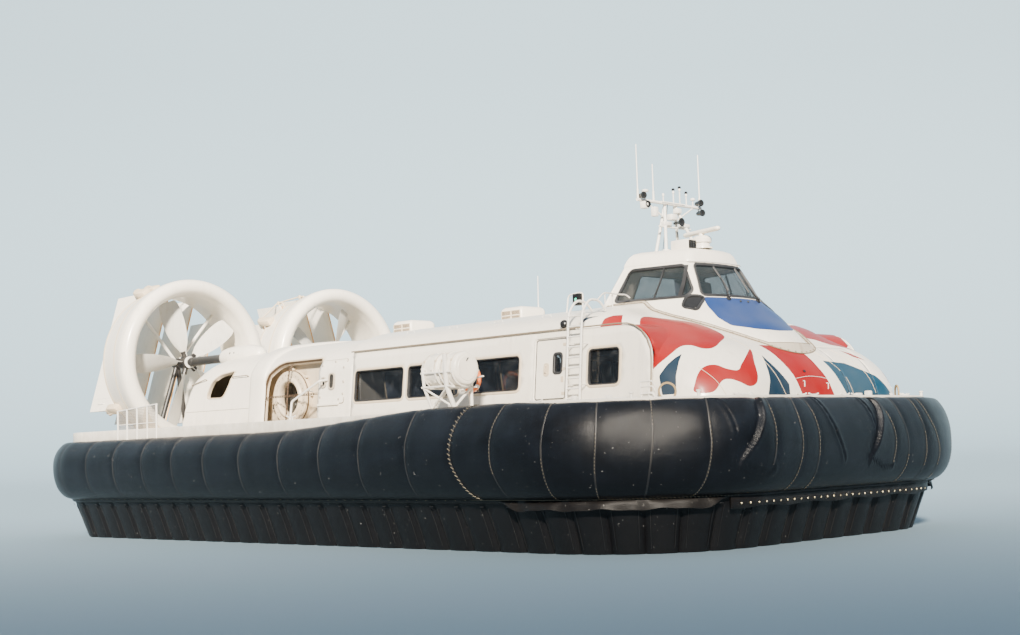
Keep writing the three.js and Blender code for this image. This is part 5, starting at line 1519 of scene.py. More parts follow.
def houseSurface(a, z):
    a = min(max(a, houseRuns[0]), houseRuns[-1])
    low, high = 0, len(houseRuns) - 1
    while high - low > 1:
        mid = (low + high) // 2
        low, high = (mid, high) if houseRuns[mid] <= a else (low, mid)
    t = (a - houseRuns[low]) / (houseRuns[high] - houseRuns[low])
    k = 0
    while k < len(houseRows) - 2 and houseRows[k + 1][0] < z:
        k += 1
    (z0, lower), (z1, upper) = houseRows[k], houseRows[k + 1]
    w = (z - z0) / (z1 - z0)
    p = Vector(lower[low]).lerp(Vector(lower[high]), t).lerp(Vector(upper[low]).lerp(Vector(upper[high]), t), w)
    return Vector((p.x, p.y, z))


def houseRun(axis, value, z):
    # Place along the outline where x (starboard side) or y has a value
    low, high = (houseRuns[0], 0.0) if axis == 0 else (houseRuns[0], houseRuns[-1])
    for _ in range(40):
        mid = (low + high) / 2
        if houseSurface(mid, z)[axis] < value:
            low = mid
        else:
            high = mid
    return (low + high) / 2


def houseLoop(axis, corners, radius, pitch=0.07, side=-1):
    loop = stepped(roundedLoop(corners, radius, 6), pitch)
    return [((1 if side < 0 else -1) * houseRun(axis, value, z), z) for value, z in loop]


def houseOut(point):
    return Vector((point.x - 7.6, point.y, (point.z - 4.9) * 0.5))


def overHouse(a, z, height):
    return raised(houseSurface, a, z, height, houseOut)


def onFront(y, z, height):
    return overHouse(houseRun(1, y, z), z, height)


def rearWall(y, z):
    return Vector((houseSurface(houseRuns[0], z).x, y, z))


def aftwards(point):
    return Vector((-1, 0, 0))


roofHalfLine = spline(roofShape["half"], 6)


def groundHeight(x, y):
    if x < 7.38:
        for a, b in zip(roofHalfLine, roofHalfLine[1:]):
            if b[0] <= abs(y) <= a[0]:
                return a[1] + (b[1] - a[1]) * (a[0] - abs(y)) / (a[0] - b[0])
    hit = bowTree.ray_cast(Vector((x, y, 9)), Vector((0, 0, -1)), 8)[0]
    return hit.z if hit else 2.9


def houseFoot(a, sink=0.03):
    z = 5.4
    while z > 4.05:
        p = houseSurface(a, z)
        if p.z < groundHeight(p.x, p.y) - sink:
            break
        z -= 0.01
    return z


def houseGlass(name, material, height, pitch, loops, **how):
    inner = lambda a, z: overHouse(a, z, height)
    sheet = piece(name, material, *[(skinSheet, inner, loop, pitch, (), (), houseOut) for loop in loops],
                  slot="dark_glass", angle=60, recalc=False, **how)
    thicken(sheet, 0.006)


def buildWheelhouse():
    h = house
    first, last = houseRuns[0], houseRuns[-1]
    sideLoops = [houseLoop(0, h["sideWindow"], 0.10, side=k) for _, k in sides]
    front, rear = houseLoop(1, h["frontWindow"], 0.10), roundedLoop(h["rearWindow"], 0.09)
    quarter = [[(k * -houseRun(0, x, z), z) for x, z in spline(h["quarterWindow"], 4, closed=True)] for _, k in sides]
    panel = houseLoop(1, h["bluePanel"], 0.05)
    feet = [(a, houseFoot(a)) for a in arc(last - first, h["footSteps"], first)]
    rearEdge = [houseSurface(first, z) for z in (5.0, 5.2, 5.4, 5.6, 5.8, 6.0, h["top"])]
    rearOutline = [(p.y, p.z) for p in rearEdge] + [(-p.y, p.z) for p in rearEdge[::-1]]
    shell = piece("wheelhouseSkin", [whitePaint, royalPaint, cabinLining],
                  (skinSheet, houseSurface, [*feet, (last, h["top"]), (first, h["top"])], 0.075, [*sideLoops, front],
                   [(panel, 1)], houseOut),
                  (skinSheet, rearWall, rearOutline, 0.12, [rear], (), aftwards),
                  replaces=("wheelhouse",), angle=30, recalc=False)
    thicken(shell, h["thickness"], 2)

    rubber = [(trimRing, houseSurface, loop, h["glassBead"], houseOut) for loop in (*sideLoops, front)]
    rubber += [(trimRing, houseSurface, loop, h["quarterBead"], houseOut) for loop in quarter]
    rubber.append((trimRing, rearWall, rear, frameBead, aftwards))
    for _, k in sides:
        for x, lean, half, tuck in h["mullions"]:
            low, high = houseRun(0, x - lean * 0.5, 5.24), houseRun(0, x + lean * 0.5 - tuck, 5.96)
            section = ((-half, -0.03), (-half, 0.010), (half, 0.010), (half, -0.03))
            rubber.append((loft, [[overHouse(d - k * (low + (high - low) * t), 5.24 + 0.72 * t, height)
                                   for d, height in section] for t in arc(1, 8)]))
    piece("wheelhouseRubber", frameRubber, *rubber, slot="black_paint")

    houseGlass("windscreenPane", clearGlass, -0.022, 0.10, [widened(front, 0.012)], replaces=("windscreen",))
    for (name, _), loop in zip(sides, sideLoops):
        houseGlass(f"sidePane_{name}", clearGlass, -0.022, 0.12, [widened(loop, 0.012)],
                   replaces=(f"wheelhouse_glass_{name}",))
    piece("rearPane", clearGlass, (patch, lambda y, z: rearWall(y, z) + Vector((0.02, 0, 0)), rear, 0, 0.006, aftwards),
          slot="dark_glass")
    houseGlass("quarterPanes", lampBlack, 0.014, 0.06, quarter)
    buildFlange(feet[3:-3])
    buildWipers()
    shell = [[(7.62 + (x - 7.62) * scale, y * scale, z) for x, y in houseRows[-1][1]] for scale, z in h["roof"]]
    piece("wheelhouseRoofShell", whitePaint, (loft, shell), replaces=("wheelhouse_roof",), angle=32)


def buildFlange(feet):
    # Foot flange that follows the roof and the dome, with its bolts and sealant beads
    rows, boltPlaces = [], []
    for a, z in feet:
        p = houseSurface(a, z + 0.03)
        out = houseOut(p)
        out.z = 0
        out.normalize()

        def ground(reach, height):
            x, y, _ = p + out * reach
            return Vector((x, y, groundHeight(x, y) + height))
        rows.append([p + out * 0.004 + Vector((0, 0, 0.05)), p + out * 0.03 + Vector((0, 0, 0.005)),
                     ground(0.06, 0.016), ground(0.13, 0.012), ground(0.13, -0.01), ground(0, -0.03)])
        boltPlaces.append(ground(0.095, 0.010))
    piece("wheelhouseFlange", footPaint, (loft, rows), angle=45)
    piece("flangeBolts", gutterBrown, *[(dome, p, (0.2, p.y * 0.1, 1), 0.026, 0.022, 8) for p in boltPlaces[::2]],
          (tube, [row[3] for row in rows], 0.013, 6), (tube, [row[0] for row in rows], 0.008, 6), slot="machine_metal")


def buildWipers():
    # The windscreen's top rail, then two wipers with their arms and spray nozzles
    rail = [overHouse(houseRun(1, y, 6.0), 6.02, 0.05) for y in (-0.9, -0.75, -0.5, -0.25, 0.0, 0.25, 0.5, 0.75, 0.9)]
    piece("windscreenRail", fittingWhite, (tube, rail, 0.014, 8),
          *[(tube, [p, p - Vector((0.06, 0, 0))], 0.011, 6) for p in rail])
    knob = [(0, -0.05), (0.035, -0.05), (0.035, 0.03), (0.02, 0.045), (0, 0.045)]
    wipers = [(dome, onFront(y, 5.12, 0.01), (0.8, 0, 0.6), 0.03, 0.03, 8) for y in (0.18, -0.1)]
    for y, tipY in ((-0.42, -0.30), (0.72, 0.50)):
        foot, elbow, tip = onFront(y, 5.19, 0.045), onFront((y + tipY) / 2, 5.45, 0.06), onFront(tipY, 5.66, 0.035)
        blade = [onFront(tipY + dy, z, 0.016) for dy, z in ((0.03, 5.36), (0.0, 5.66), (-0.03, 5.92))]
        wipers += [(turned, knob, foot, (0.7, 0, 0.7), 12), (tube, [foot, elbow, tip], 0.013, 8),
                   (tube, [foot + Vector((0, 0.035, 0)), elbow + Vector((0, 0.03, 0)), tip], 0.006, 6),
                   (tube, blade, 0.012, 6), (tube, [p + Vector((0.018, 0, 0.018)) for p in blade], 0.007, 6),
                   (block, foot - Vector((0.03, 0, 0.05)), (0.12, 0.10, 0.06), 0.015)]
    piece("wipers", frameRubber, *wipers, slot="black_paint")


def paddedForm(bm, centre, size, crown, turn=None, cells=8):
    # A stuffed pad: crowned faces, pinched edges and rounded corners, closed
    made = bmesh.ops.create_grid(bm, x_segments=cells, y_segments=cells, size=0.5)["verts"]
    upper = bmesh.ops.create_grid(bm, x_segments=cells, y_segments=cells, size=0.5)["verts"]
    place = Matrix.Translation(centre) @ (turn.to_4x4() if turn else Matrix.Identity(4))
    rims = []
    for verts, sign in ((made, -1), (upper, 1)):
        rim = {}
        for v in verts:
            u, w = v.co.x * 2, v.co.y * 2
            fill = (max(0.0, 1 - u * u) * max(0.0, 1 - w * w)) ** 0.22
            pinch = 1 - 0.05 * (1 - fill) * (abs(u) * abs(w)) ** 4
            local = Vector((u / 2 * size[0] * pinch, w / 2 * size[1] * pinch,
                            sign * (size[2] / 2 * fill + crown * (1 - u * u) * (1 - w * w) * (1 if sign > 0 else 0.3))))
            if max(abs(u), abs(w)) > 0.999:
                rim[(round(u, 3), round(w, 3))] = v
                local.z = sign * 0.002
            v.co = place @ local
        rims.append(rim)
    low, high = rims
    keys = sorted(low, key=lambda k: math.atan2(k[1], k[0]))
    bmesh.ops.reverse_faces(bm, faces=list({f for v in made for f in v.link_faces}))
    for a, b in zip(keys, keys[1:] + keys[:1]):
        bm.faces.new((low[a], low[b], high[b], high[a]))


helm = {"legs": (7.7, 9.0), "seatX": 7.95, "seatY": (-0.45, 0.45),
        "desk": [(8.36, 4.82), (8.70, 4.82), (8.72, 5.10), (8.66, 5.20), (8.50, 5.21), (8.40, 5.14), (8.34, 5.12)]}


def buildHelm():
    h = helm
    legs = [(tube, [(x, y, 2.905), (x, y, 4.77)], 0.04, 12) for x in h["legs"] for y in (-0.8, 0.8)]
    piece("helmDesk", blackPaint, (block, (8.35, 0, 4.79), (1.46, 1.76, 0.055), 0.01), *legs,
          (loft, [[(x, y, z) for x, z in h["desk"]] for y in (-0.85, 0.85)]), slot="black_paint",
          replaces=("wheelhouse_helm",))
    x = h["seatX"]
    metal = [(block, (8.44, y, 5.185), (0.10, 0.26, 0.012), 0.004, Matrix.Rotation(-0.5, 3, "Y"))
             for y in (-0.6, -0.25, 0.25, 0.6)]
    cushions = []
    for y in h["seatY"]:
        base = [(0, 4.815), (0.2, 4.815), (0.19, 4.84), (0.06, 4.86), (0, 4.86)]
        metal += [(tube, [(x, y, 4.81), (x, y, 5.02)], 0.055, 14), (turned, base, (x, y, 0), upward, 20)]
        for side in (-1, 1):
            arm = [(7.74, y + side * 0.25, 5.2), (7.76, y + side * 0.26, 5.33), (8.08, y + side * 0.26, 5.35)]
            metal.append((tube, bent(arm, 0.04), 0.02, 8))
        cushions += [(paddedForm, (x, y, 5.09), (0.46, 0.46, 0.10), 0.02),
                     (paddedForm, (7.70, y, 5.42), (0.60, 0.44, 0.09), 0.02,
                      Matrix.Rotation(math.radians(-96), 3, "Y"))]
    piece("helmMetal", darkMetal, *metal, slot="machine_metal")
    pad = piece("helmCushions", seatCloth, *cushions, slot="seat_fabric", angle=80)


buildWheelhouse()
buildHelm()
print("wheelhouse is made")


seating = {
    "rows": 7, "firstX": 0.9, "pitch": 0.8, "blocks": [(-3.4, -2.1), (-1.5, 1.5), (2.1, 3.4)], "floor": 2.94,
    "seatWidth": 0.47, "base": 0.40, "depth": 0.44, "back": 0.66, "lean": 8,
}


def buildSeats():
    s = seating
    bm, shells, legs = bmesh.new(), bmesh.new(), bmesh.new()
    lean = Matrix.Rotation(math.radians(-90 - s["lean"]), 3, "Y")
    for row in range(s["rows"]):
        x = s["firstX"] + row * s["pitch"]
        for y0, y1 in s["blocks"]:
            if row == s["rows"] - 1 and y0 != -1.5:
                continue
            count = max(2, int((y1 - y0) / s["seatWidth"]))
            width = (y1 - y0) / count
            for k in range(count):
                y = y0 + width * (k + 0.5)
                paddedForm(bm, (x + 0.20, y, s["floor"] + s["base"]), (s["depth"], width * 0.95, 0.10), 0.014, None, 6)
                paddedForm(bm, (x - 0.045, y, s["floor"] + 0.76), (s["back"], width * 0.93, 0.09), 0.012, lean, 6)
                block(shells, (x - 0.10, y, s["floor"] + 0.74), (0.64, width * 0.9, 0.02), 0.006, lean, 1)
            for y in (y0 + 0.2, y1 - 0.2):
                block(legs, (x + 0.2, y, s["floor"] + 0.17), (0.30, 0.04, 0.34), 0.008, None, 1)
    pads = toPiece("cabinCushions", bm, seatCloth, slot="seat_fabric", replaces=("cabin_seats",), angle=80)
    toPiece("seatShells", shells, creamMoulding)
    block(legs, (3.2, 0, 2.922), (5.6, 7.0, 0.035), 0.004)
    block(legs, (6.5, 0, 2.922), (1.0, 3.0, 0.035), 0.004)
    toPiece("cabinFloor", legs, cabinLining, slot="machine_metal")


buildSeats()
print("seats are made")


# Ducted propellers with their shafts, legs and rudders, drawn on the starboard side and mirrored
drive = {
    "y": 2.64, "z": 4.88, "lip": (-8.56, 2.17, 0.22),
    "barrel": [(2.38, -8.71), (2.33, -8.95), (2.27, -9.25), (2.19, -9.62), (2.12, -9.97), (2.09, -10.0)],
    "bore": [(1.975, -10.0), (1.958, -9.97), (1.915, -9.5), (1.90, -9.2), (1.90, -8.85), (1.91, -8.70)],
    "propX": -8.95, "blades": 5, "firstBlade": 20,
    # Blade stations as (radius, chord, twist in degrees, thickness)
    "stations": [(0.11, 0.17, 64, 0.09), (0.33, 0.21, 58, 0.084), (0.62, 0.45, 48, 0.062), (1.0, 0.59, 39, 0.05),
                 (1.4, 0.62, 31, 0.038), (1.72, 0.56, 26, 0.028), (1.85, 0.43, 24, 0.016)],
    "bladeSection": [(-0.5, 0), (-0.42, 0.22), (-0.2, 0.5), (0.05, 0.48), (0.3, 0.28), (0.5, 0.02), (0.3, -0.16),
                     (-0.1, -0.35), (-0.42, -0.2)],
    "pivotX": -10.2, "noseX": -10.08, "tailX": -11.4, "offsets": [-1.31, -0.437, 0.437, 1.31], "splay": 16,
    "circle": 2.2, "fence": (5.80, -7.44, -5.46), "fenceFoot": 2.62,
}


def splayed(side, x, offset, reach):
    a = math.radians(drive["splay"])
    y = offset * math.cos(a) + reach * math.sin(a)
    z = -offset * math.sin(a) + reach * math.cos(a)
    return Vector((x, side * (drive["y"] - y), drive["z"] + z))


def rudderReach(offset):
    a = math.radians(drive["splay"])
    up = math.sqrt(drive["circle"] ** 2 - offset ** 2)
    down = (drive["z"] - 2.9 - 0.27 - offset * math.sin(a)) / math.cos(a)
    return up, min(up, down)


def bandOn(bm, radius, x, proud, around, centre, half=(0.010, 0.009), sunk=0.003):
    # A flat band round a turned body: half is its half width at the foot and at the top
    foot, top = half
    turned(bm, [(radius - sunk, x - foot), (radius + proud, x - top), (radius + proud, x + top),
                (radius - sunk, x + foot)], centre, forward, around)


def rudderBrackets(name, side, centre):
    d = drive
    bm = bmesh.new()
    for x, r in ((-9.05, 2.312), (-9.9, 2.142)):
        turned(bm, [(r - 0.01, x - 0.03), (r + 0.008, x - 0.025), (r + 0.004, x + 0.025), (r - 0.01, x + 0.03)],
               centre, forward, 96)
    for offset in d["offsets"]:
        for reach, end in zip(rudderReach(offset), (1, -1)):
            at = lambda x, h: splayed(side, x, offset, end * (reach + 0.0503) + end * h)
            tube(bm, [at(d["pivotX"], h) for h in (0, 0.08)], 0.06, 14)
            tube(bm, [at(d["pivotX"], h) for h in (0.08, 0.10)], 0.035, 12)
            rim = end * math.sqrt(2.035 ** 2 - offset ** 2)
            arm = [at(d["pivotX"], 0.045), at(d["noseX"] + 0.09, 0.045), splayed(side, -9.93, offset, rim)]
            tube(bm, bent(arm, 0.05), 0.026, 10)
            block(bm, splayed(side, -9.985, offset, rim), (0.05, 0.12, 0.12), 0.012)
    # Actuator fairings over the duct's rim and beneath the rudders
    for offset, end in ((-1.42, 1), (-1.12, 1), (1.31, 1), (-1.40, -1)):
        rim = splayed(side, -9.86, offset, end * math.sqrt(2.25 ** 2 - offset ** 2))
        turn = Matrix.Rotation(math.radians(side * end * offset * 26), 3, "X")
        block(bm, rim, (0.56, 0.30, 0.22), 0.07, turn)
        block(bm, rim + Vector((-0.26, 0, end * 0.02)), (0.22, 0.20, 0.20), 0.05, turn)
        rod = [rim + Vector((x, 0, end * z)) for x, z in ((0.1, 0.07), (-0.25, 0.14), (-0.42, 0.10))]
        tube(bm, bent(rod, 0.05), 0.03, 10)
    tube(bm, [splayed(side, -10.26, o, math.sqrt(2.2 ** 2 - o * o) + 0.10) for o in d["offsets"]], 0.022, 8)
    foot = [(-8.44, 2.905), (-7.48, 2.905), (-7.60, 2.99), (-7.95, 3.16), (-8.20, 3.38), (-8.36, 3.66), (-8.44, 3.66)]
    patch(bm, lambda x, z: Vector((x, side * 4.385, z)), roundedLoop(foot, 0.03), 0.03, 0.03, outwards(side))
    toPiece(f"rudderBrackets_{name}", bm, creamMoulding)


def deckGuard(name, side):
    # Meshed guard standing on the deck's edge
    y, x0, x1 = drive["fence"]
    foot = drive["fenceFoot"]
    topAt = lambda x: 3.41 + 0.12 * (x - x0) / (x1 - x0)
    posts = (x0 + 0.03, x0 + 0.50, x0 + 1.0, x0 + 1.5, x1 - 0.03)
    bars = [(0.026, 10, (x, y, foot - 0.03), (x, y, topAt(x) + 0.01)) for x in posts]
    bars += [(0.022, 8, (x, y, z), (x, y - 0.14, z)) for x in posts for z in (2.70, 2.86)]
    bars += [(thick, around, (x0, y, low), (x1, y, high)) for thick, around, low, high in
             ((0.018, 10, topAt(x0), topAt(x1)), (0.018, 10, foot, foot), (0.012, 8, 3.04, 3.06))]
    piece(f"guardFrame_{name}", fittingWhite, (rods, side, bars))
    wires = []
    for k in range(48):
        x = x0 + 0.04 + (x1 - x0 - 0.08) * k / 47
        high = topAt(x)
        wires.append((block, (x, side * (y - 0.012), (foot + high) / 2), (0.010, 0.006, high - foot), 0))
    wires += [(block, ((x0 + x1) / 2, side * (y - 0.018), foot + 0.04 + 0.04 * k), (x1 - x0, 0.006, 0.010), 0)
              for k in range(20)]
    piece(f"guardMesh_{name}", meshMetal, *wires, slot="machine_metal")


def buildDucts():
    d = drive
    lipX, lipMiddle, lipRadius = d["lip"]
    lip = [(lipMiddle + lipRadius * math.cos(a), lipX + lipRadius * math.sin(a)) for a in arc(-math.pi, 14, math.pi)]
    profile = lip + spline(d["barrel"], 4) + spline(d["bore"], 4)
    for name, side in sides:
        centre = (0, side * d["y"], d["z"])
        piece(f"ductRing_{name}", whitePaint, (turned, profile, centre, forward, 112), replaces=(f"duct_{name}",),
              angle=40)
        rudderBrackets(name, side, centre)
        deckGuard(name, side)


def bladeLoops(angle, side):
    d = drive
    loops = []
    section = spline(d["bladeSection"], 2, closed=True)
    for r, chord, twist, thick in spline(d["stations"], 4):
        a = math.radians(twist)
        loop = []
        for c, t in section:
            u, w = c * chord, t * thick
            x = d["propX"] + u * math.sin(a) + w * math.cos(a)
            y = u * math.cos(a) - w * math.sin(a)
            cy, cz = y * math.cos(angle) - r * math.sin(angle), y * math.sin(angle) + r * math.cos(angle)
            loop.append((x, -side * (cy - d["y"]), cz + d["z"]))
        loops.append(loop)
    return loops


def buildPropellers():
    d = drive
    x, z = d["propX"], d["z"]
    fairing = spline([(0.0, -5.12), (0.10, -5.14), (0.2, -5.26), (0.285, -5.6), (0.30, -5.95), (0.298, -6.35),
                      (0.265, -6.75), (0.225, -6.93), (0.18, -6.98), (0.0, -6.985)], 4)
    saddle = [(-6.9, 4.42), (-6.4, 4.62), (-5.9, 4.70), (-5.2, 4.72), (-5.2, 4.95), (-5.9, 5.0), (-6.6, 4.93)]
    shaft = [(0, -6.97), (0.135, -6.97), (0.135, -7.02), (0.124, -7.04), (0.124, -8.50), (0.14, -8.52), (0.14, -8.66),
             (0.11, -8.685), (0, -8.685)]
    hub = [(0, x + 0.225), (0.10, x + 0.225), (0.11, x + 0.17), (0.185, x + 0.125), (0.19, x + 0.10), (0.19, x - 0.11),
           (0.17, x - 0.135), (0.12, x - 0.19), (0, x - 0.19)]
    flange = [(0, x + 0.19), (0.17, x + 0.19), (0.175, x + 0.165), (0.15, x + 0.155), (0, x + 0.155)]
    px = x - 0.46
    hubEnd = [(0, px + 0.12), (0.12, px + 0.12), (0.15, px + 0.08), (0.15, px - 0.12), (0.11, px - 0.18),
              (0, px - 0.20)]
    turns = [math.radians(360 * k / d["blades"] + d["firstBlade"]) for k in range(d["blades"])]
    for name, side in sides:
        y = side * d["y"]
        centre = (0, y, z)
        spinning = {"body": f"propeller_{name}", "slot": "propeller_black"}
        piece(f"propellerBlades_{name}", bladePaint, *[(loft, bladeLoops(a, side)) for a in turns],
              replaces=(f"propeller_{name}",), angle=50, **spinning)
        sockets = []
        for a in turns:
            reach = lambda r: (x, y + side * math.sin(a) * r, z + math.cos(a) * r)
            sockets += [(tube, [reach(0.12), reach(0.30)], 0.085, 18, 0.07),
                        (tube, [reach(0.295), reach(0.345)], 0.083, 18)]
        piece(f"propellerHub_{name}", blackPaint, (turned, hub, centre, forward, 32), *sockets, angle=35, **spinning)
        bolts = [(dome, (x + 0.188, y + 0.13 * math.cos(a), z + 0.13 * math.sin(a)), forward, 0.015, 0.014, 6)
                 for a in circle(10)]
        piece(f"hubFlange_{name}", fittingWhite, (turned, flange, centre, forward, 32), *bolts,
              body=f"propeller_{name}")
        piece(f"shaftFairing_{name}", whitePaint, (turned, fairing, centre, forward, 44),
              (loft, [[(sx, y + dy, sz) for sx, sz in saddle] for dy in (-0.12, -0.09, 0.09, 0.12)]), angle=45)
        caps = [(dome, (capX, y + k * 0.283, z + 0.09), (0, k, 0.3), 0.032, 0.008, 12)
                for capX in (-6.34, -6.14) for k in (-1, 1)]
        piece(f"shaftTube_{name}", blackPaint, (turned, shaft, centre, forward, 28), *caps, slot="black_paint",
              replaces=(f"propeller_shaft_{name}",))
        leg = lambda x, dy, dz, reach: (x, y - side * dy * reach, z + dz * reach)
        lower = [(tube, [(px - 0.04, y, z), leg(px - 0.06, dy, -1.96, 1.94 / math.hypot(dy, -1.96))], 0.075, 14)
                 for dy in (-0.62, 0.3)]
        piece(f"hubLegs_{name}", blackPaint, (turned, hubEnd, centre, forward, 28),
              (tube, [(x - 0.191, y, z), (px, y, z)], 0.07, 16), *lower, slot="black_paint",
              replaces=(f"propeller_pylon_{name}",))
        upper = [(tube, [leg(px - 0.05, dy, 1.56, 0.06), leg(px - 0.06, dy, 1.56, 1.93 / math.hypot(dy, 1.56))],
                  0.048, 12) for dy in (-1.3, 1.3)]
        piece(f"upperLegs_{name}", fittingWhite, *upper)


def buildRudders():
    d = drive
    for name, side in sides:
        for i, offset in enumerate(d["offsets"], 1):
            node = f"rudder_{i}_{name}"
            dressNode(node, whitePaint)
            up, down = rudderReach(offset)
            bottom = 0.38 - down
            upright = lambda x, low, high: [splayed(side, x, offset, r) for r in (low, high)]
            piece(f"rudderEdge_{i}_{name}", lineOrange,
                  (tube, upright(d["noseX"] + 0.004, -down + 0.01, up - 0.01), 0.017, 8), body=node)
            fittings = [(tube, upright(d["tailX"] + 0.004, -down + 0.02, up - 0.02), 0.009, 6)]
            for k in (-1, 1):
                strip = [splayed(side, px, offset + k * half, bottom) for px, half in
                         ((-10.12, 0.034), (-10.32, 0.045), (-10.8, 0.029), (-11.38, 0.006))]
                hinge = [splayed(side, px, offset + k * 0.03, bottom - 0.16) for px in (-10.66, -10.80, -10.98)]
                fittings += [(tube, strip, 0.006, 6), (tube, hinge, 0.022, 8),
                             (tube, upright(d["pivotX"], -down - 0.045, -down + 0.02), 0.033, 12)]
            piece(f"rudderFittings_{i}_{name}", fittingWhite, *fittings, body=node)


buildDucts()
buildPropellers()
buildRudders()
print("ducts, propellers and rudders are made")


raftRack = {"y": 5.05, "z": 3.81, "radius": 0.36, "cans": [(4.42, 4.94), (4.99, 5.51)]}
lifebuoy = {"x": 4.90, "y": 4.38, "z": 3.63, "radius": 0.26, "post": 4.83}


def canEnd(x, inward):
    # A canister's rounded end as (radius, x), from its middle to its side
    r = raftRack["radius"]
    steps = ((0.10, 0), (r - 0.06, 0.004), (r - 0.014, 0.028), (r, 0.075))
    return spline([(radius, x + inward * dx) for radius, dx in steps], 3)


def buildRafts():
    r = raftRack
    radius, high = r["radius"], r["z"]
    (aft0, aft1), (fore0, fore1) = r["cans"]
    legX = (aft0 + 0.10, aft1 - 0.04, fore0 + 0.05, fore1 - 0.28)
    first, last = legX[0], fore0 + 0.24
    stand = []
    for x, top, thick in ((first, 3.86, 0.036), (last, 4.12, 0.052)):
        stand += [(thick, 14, (x, 5.15, 2.908), (x, 5.40, 3.45), (x, 5.43, top)),
                  (0.034, 12, (x, 4.68, 2.908), (x, 4.67, top - 0.05)),
                  (0.03, 10, (x, 5.17, 3.01), (x, 4.68, 3.42)), (0.026, 10, (x, 4.68, 3.42), (x, 5.41, 3.43))]
    stand += [(thick, 10, (aft0 + 0.04, y, z), (fore1 - 0.12, y, z)) for y, z, thick in
              ((5.42, 3.74, 0.024), (5.41, 3.44, 0.022), (4.68, 3.62, 0.022), (4.68, 3.42, 0.018))]
    stand += [(0.022, 10, (first, 5.17, 2.98), (last, 5.40, 3.42)),
              (0.022, 10, (last, 5.17, 2.98), (first, 5.40, 3.42)),
              (0.020, 10, (first, 4.68, 2.98), (last, 4.68, 3.42))]
    for name, side in sides:
        y = side * r["y"]
        rest = (0, y, high)
        bm = bmesh.new()
        for x0, x1 in r["cans"]:
            turned(bm, [(0, x0), *canEnd(x0, 1), *canEnd(x1, -1)[::-1], (0, x1)], rest, forward, 44)
        turned(bm, [(0, aft1 - 0.04), (0.29, aft1 - 0.04), (0.29, fore0 + 0.04), (0, fore0 + 0.04)], rest, forward, 40)
        for x, inward in ((fore1, -1), (aft0, 1)):
            cap = [(reach, x + inward * dx) for reach, dx in ((0, 0.01), (0.27, 0.004), (0.26, -0.008), (0, -0.010))]
            turned(bm, cap, rest, forward, 32)
        # Moulded clamp bands with flats, so the aft one reads as eight-sided
        for x in (aft0 + 0.16, aft0 + 0.36):
            bandOn(bm, radius, x, 0.020, 8, rest, (0.035, 0.032), 0.01)
        turned(bm, [(radius - 0.01, fore0 + 0.13), (radius + 0.012, fore0 + 0.135), (radius + 0.012, fore0 + 0.17),
                    (radius - 0.01, fore0 + 0.175)], rest, forward, 44)
        toPiece(f"raftCanisters_{name}", bm, whitePaint, replaces=(f"liferafts_{name}",), angle=30)
        bm = bmesh.new()
        for x in (aft0 + 0.10, aft1 - 0.07, fore0 + 0.09, fore1 - 0.14):
            bandOn(bm, radius, x, 0.005, 44, rest)
            block(bm, (x, y + side * 0.31, high + 0.18), (0.05, 0.045, 0.06), 0.01)
        toPiece(f"raftStraps_{name}", bm, creamMoulding)
        slot = bent([(fore1 + 0.012, y + side * a, high + b) for a, b in ((0.03, 0.15), (-0.03, 0.22))], 0.01)
        piece(f"raftSlots_{name}", lampBlack, (tube, slot, 0.012, 8), slot="black_paint")
        # Stand of splayed legs, saddles, braces and a level rail
        cradles = [(0.018, 8, *[(x, r["y"] + side * (radius + 0.02) * math.cos(a), high + (radius + 0.02) * math.sin(a))
                                for a in arc(math.pi, 12, math.pi)]) for x in (*legX, fore1 - 0.08)]
        feet = [(block, (x, side * footY, 2.911), size, 0.004) for x in (first, last)
                for footY, size in ((5.15, (0.16, 0.16, 0.016)), (4.68, (0.13, 0.13, 0.016)))]
        piece(f"raftRack_{name}", fittingWhite, (rods, side, stand + cradles), *feet)
        buildLifebuoy(name, side)


def buildLifebuoy(name, side):
    # A buoy on a post behind the canisters
    b = lifebuoy
    y, z, r, post = side * b["y"], b["z"], b["radius"], b["post"]
    ring = [(r + 0.050 * math.cos(a), b["x"] + 0.043 * math.sin(a)) for a in circle(12)]
    piece(f"lifebuoy_{name}", orangePaint, (turned, ring, (0, y, z), forward, 40), slot="red_paint")
    band = [(r + 0.054 * math.cos(a), 0.047 * math.sin(a)) for a in circle(12)]
    bands = [(loft, [[(b["x"] + h, y + rr * math.cos(turn), z + rr * math.sin(turn)) for rr, h in band]
                     for turn in (a - 0.12, a + 0.12)]) for a in circle(4, math.pi / 4)]
    bars = [(tube, [(post, y, 2.905), (post, y, 3.92)], 0.02, 10),
            (tube, [(post, y - 0.22, 3.36), (post, y + 0.22, 3.36)], 0.014, 8),
            (tube, [(post, y, 3.60), (5.30, y, 3.66)], 0.018, 8),
            (block, (post, y, 2.912), (0.12, 0.12, 0.015), 0.004)]
    piece(f"lifebuoyStand_{name}", fittingWhite, *bands, *bars)


ladder = {
    "rails": (7.42, 7.80),
    "foot": (4.08, 2.905),
    "starboard": [(3.90, 4.86), (3.66, 5.13), (3.36, 5.12), (3.16, 4.93)],
    "port": [(3.91, 4.66), (3.70, 4.70)],
    "handrail": [(7.80, 3.40, 5.13), (7.72, 3.1, 5.30), (7.35, 2.2, 5.34), (7.25, 1.85, 5.36), (7.25, 1.72, 5.30)],
    "arch": [(6.25, 2.70, 4.95), (6.29, 2.66, 5.40), (6.62, 2.66, 5.43), (6.72, 2.66, 5.40), (6.74, 2.70, 4.95)],
}


def rungY(z):
    return 4.08 - 0.18 * (z - 2.9) / 1.97


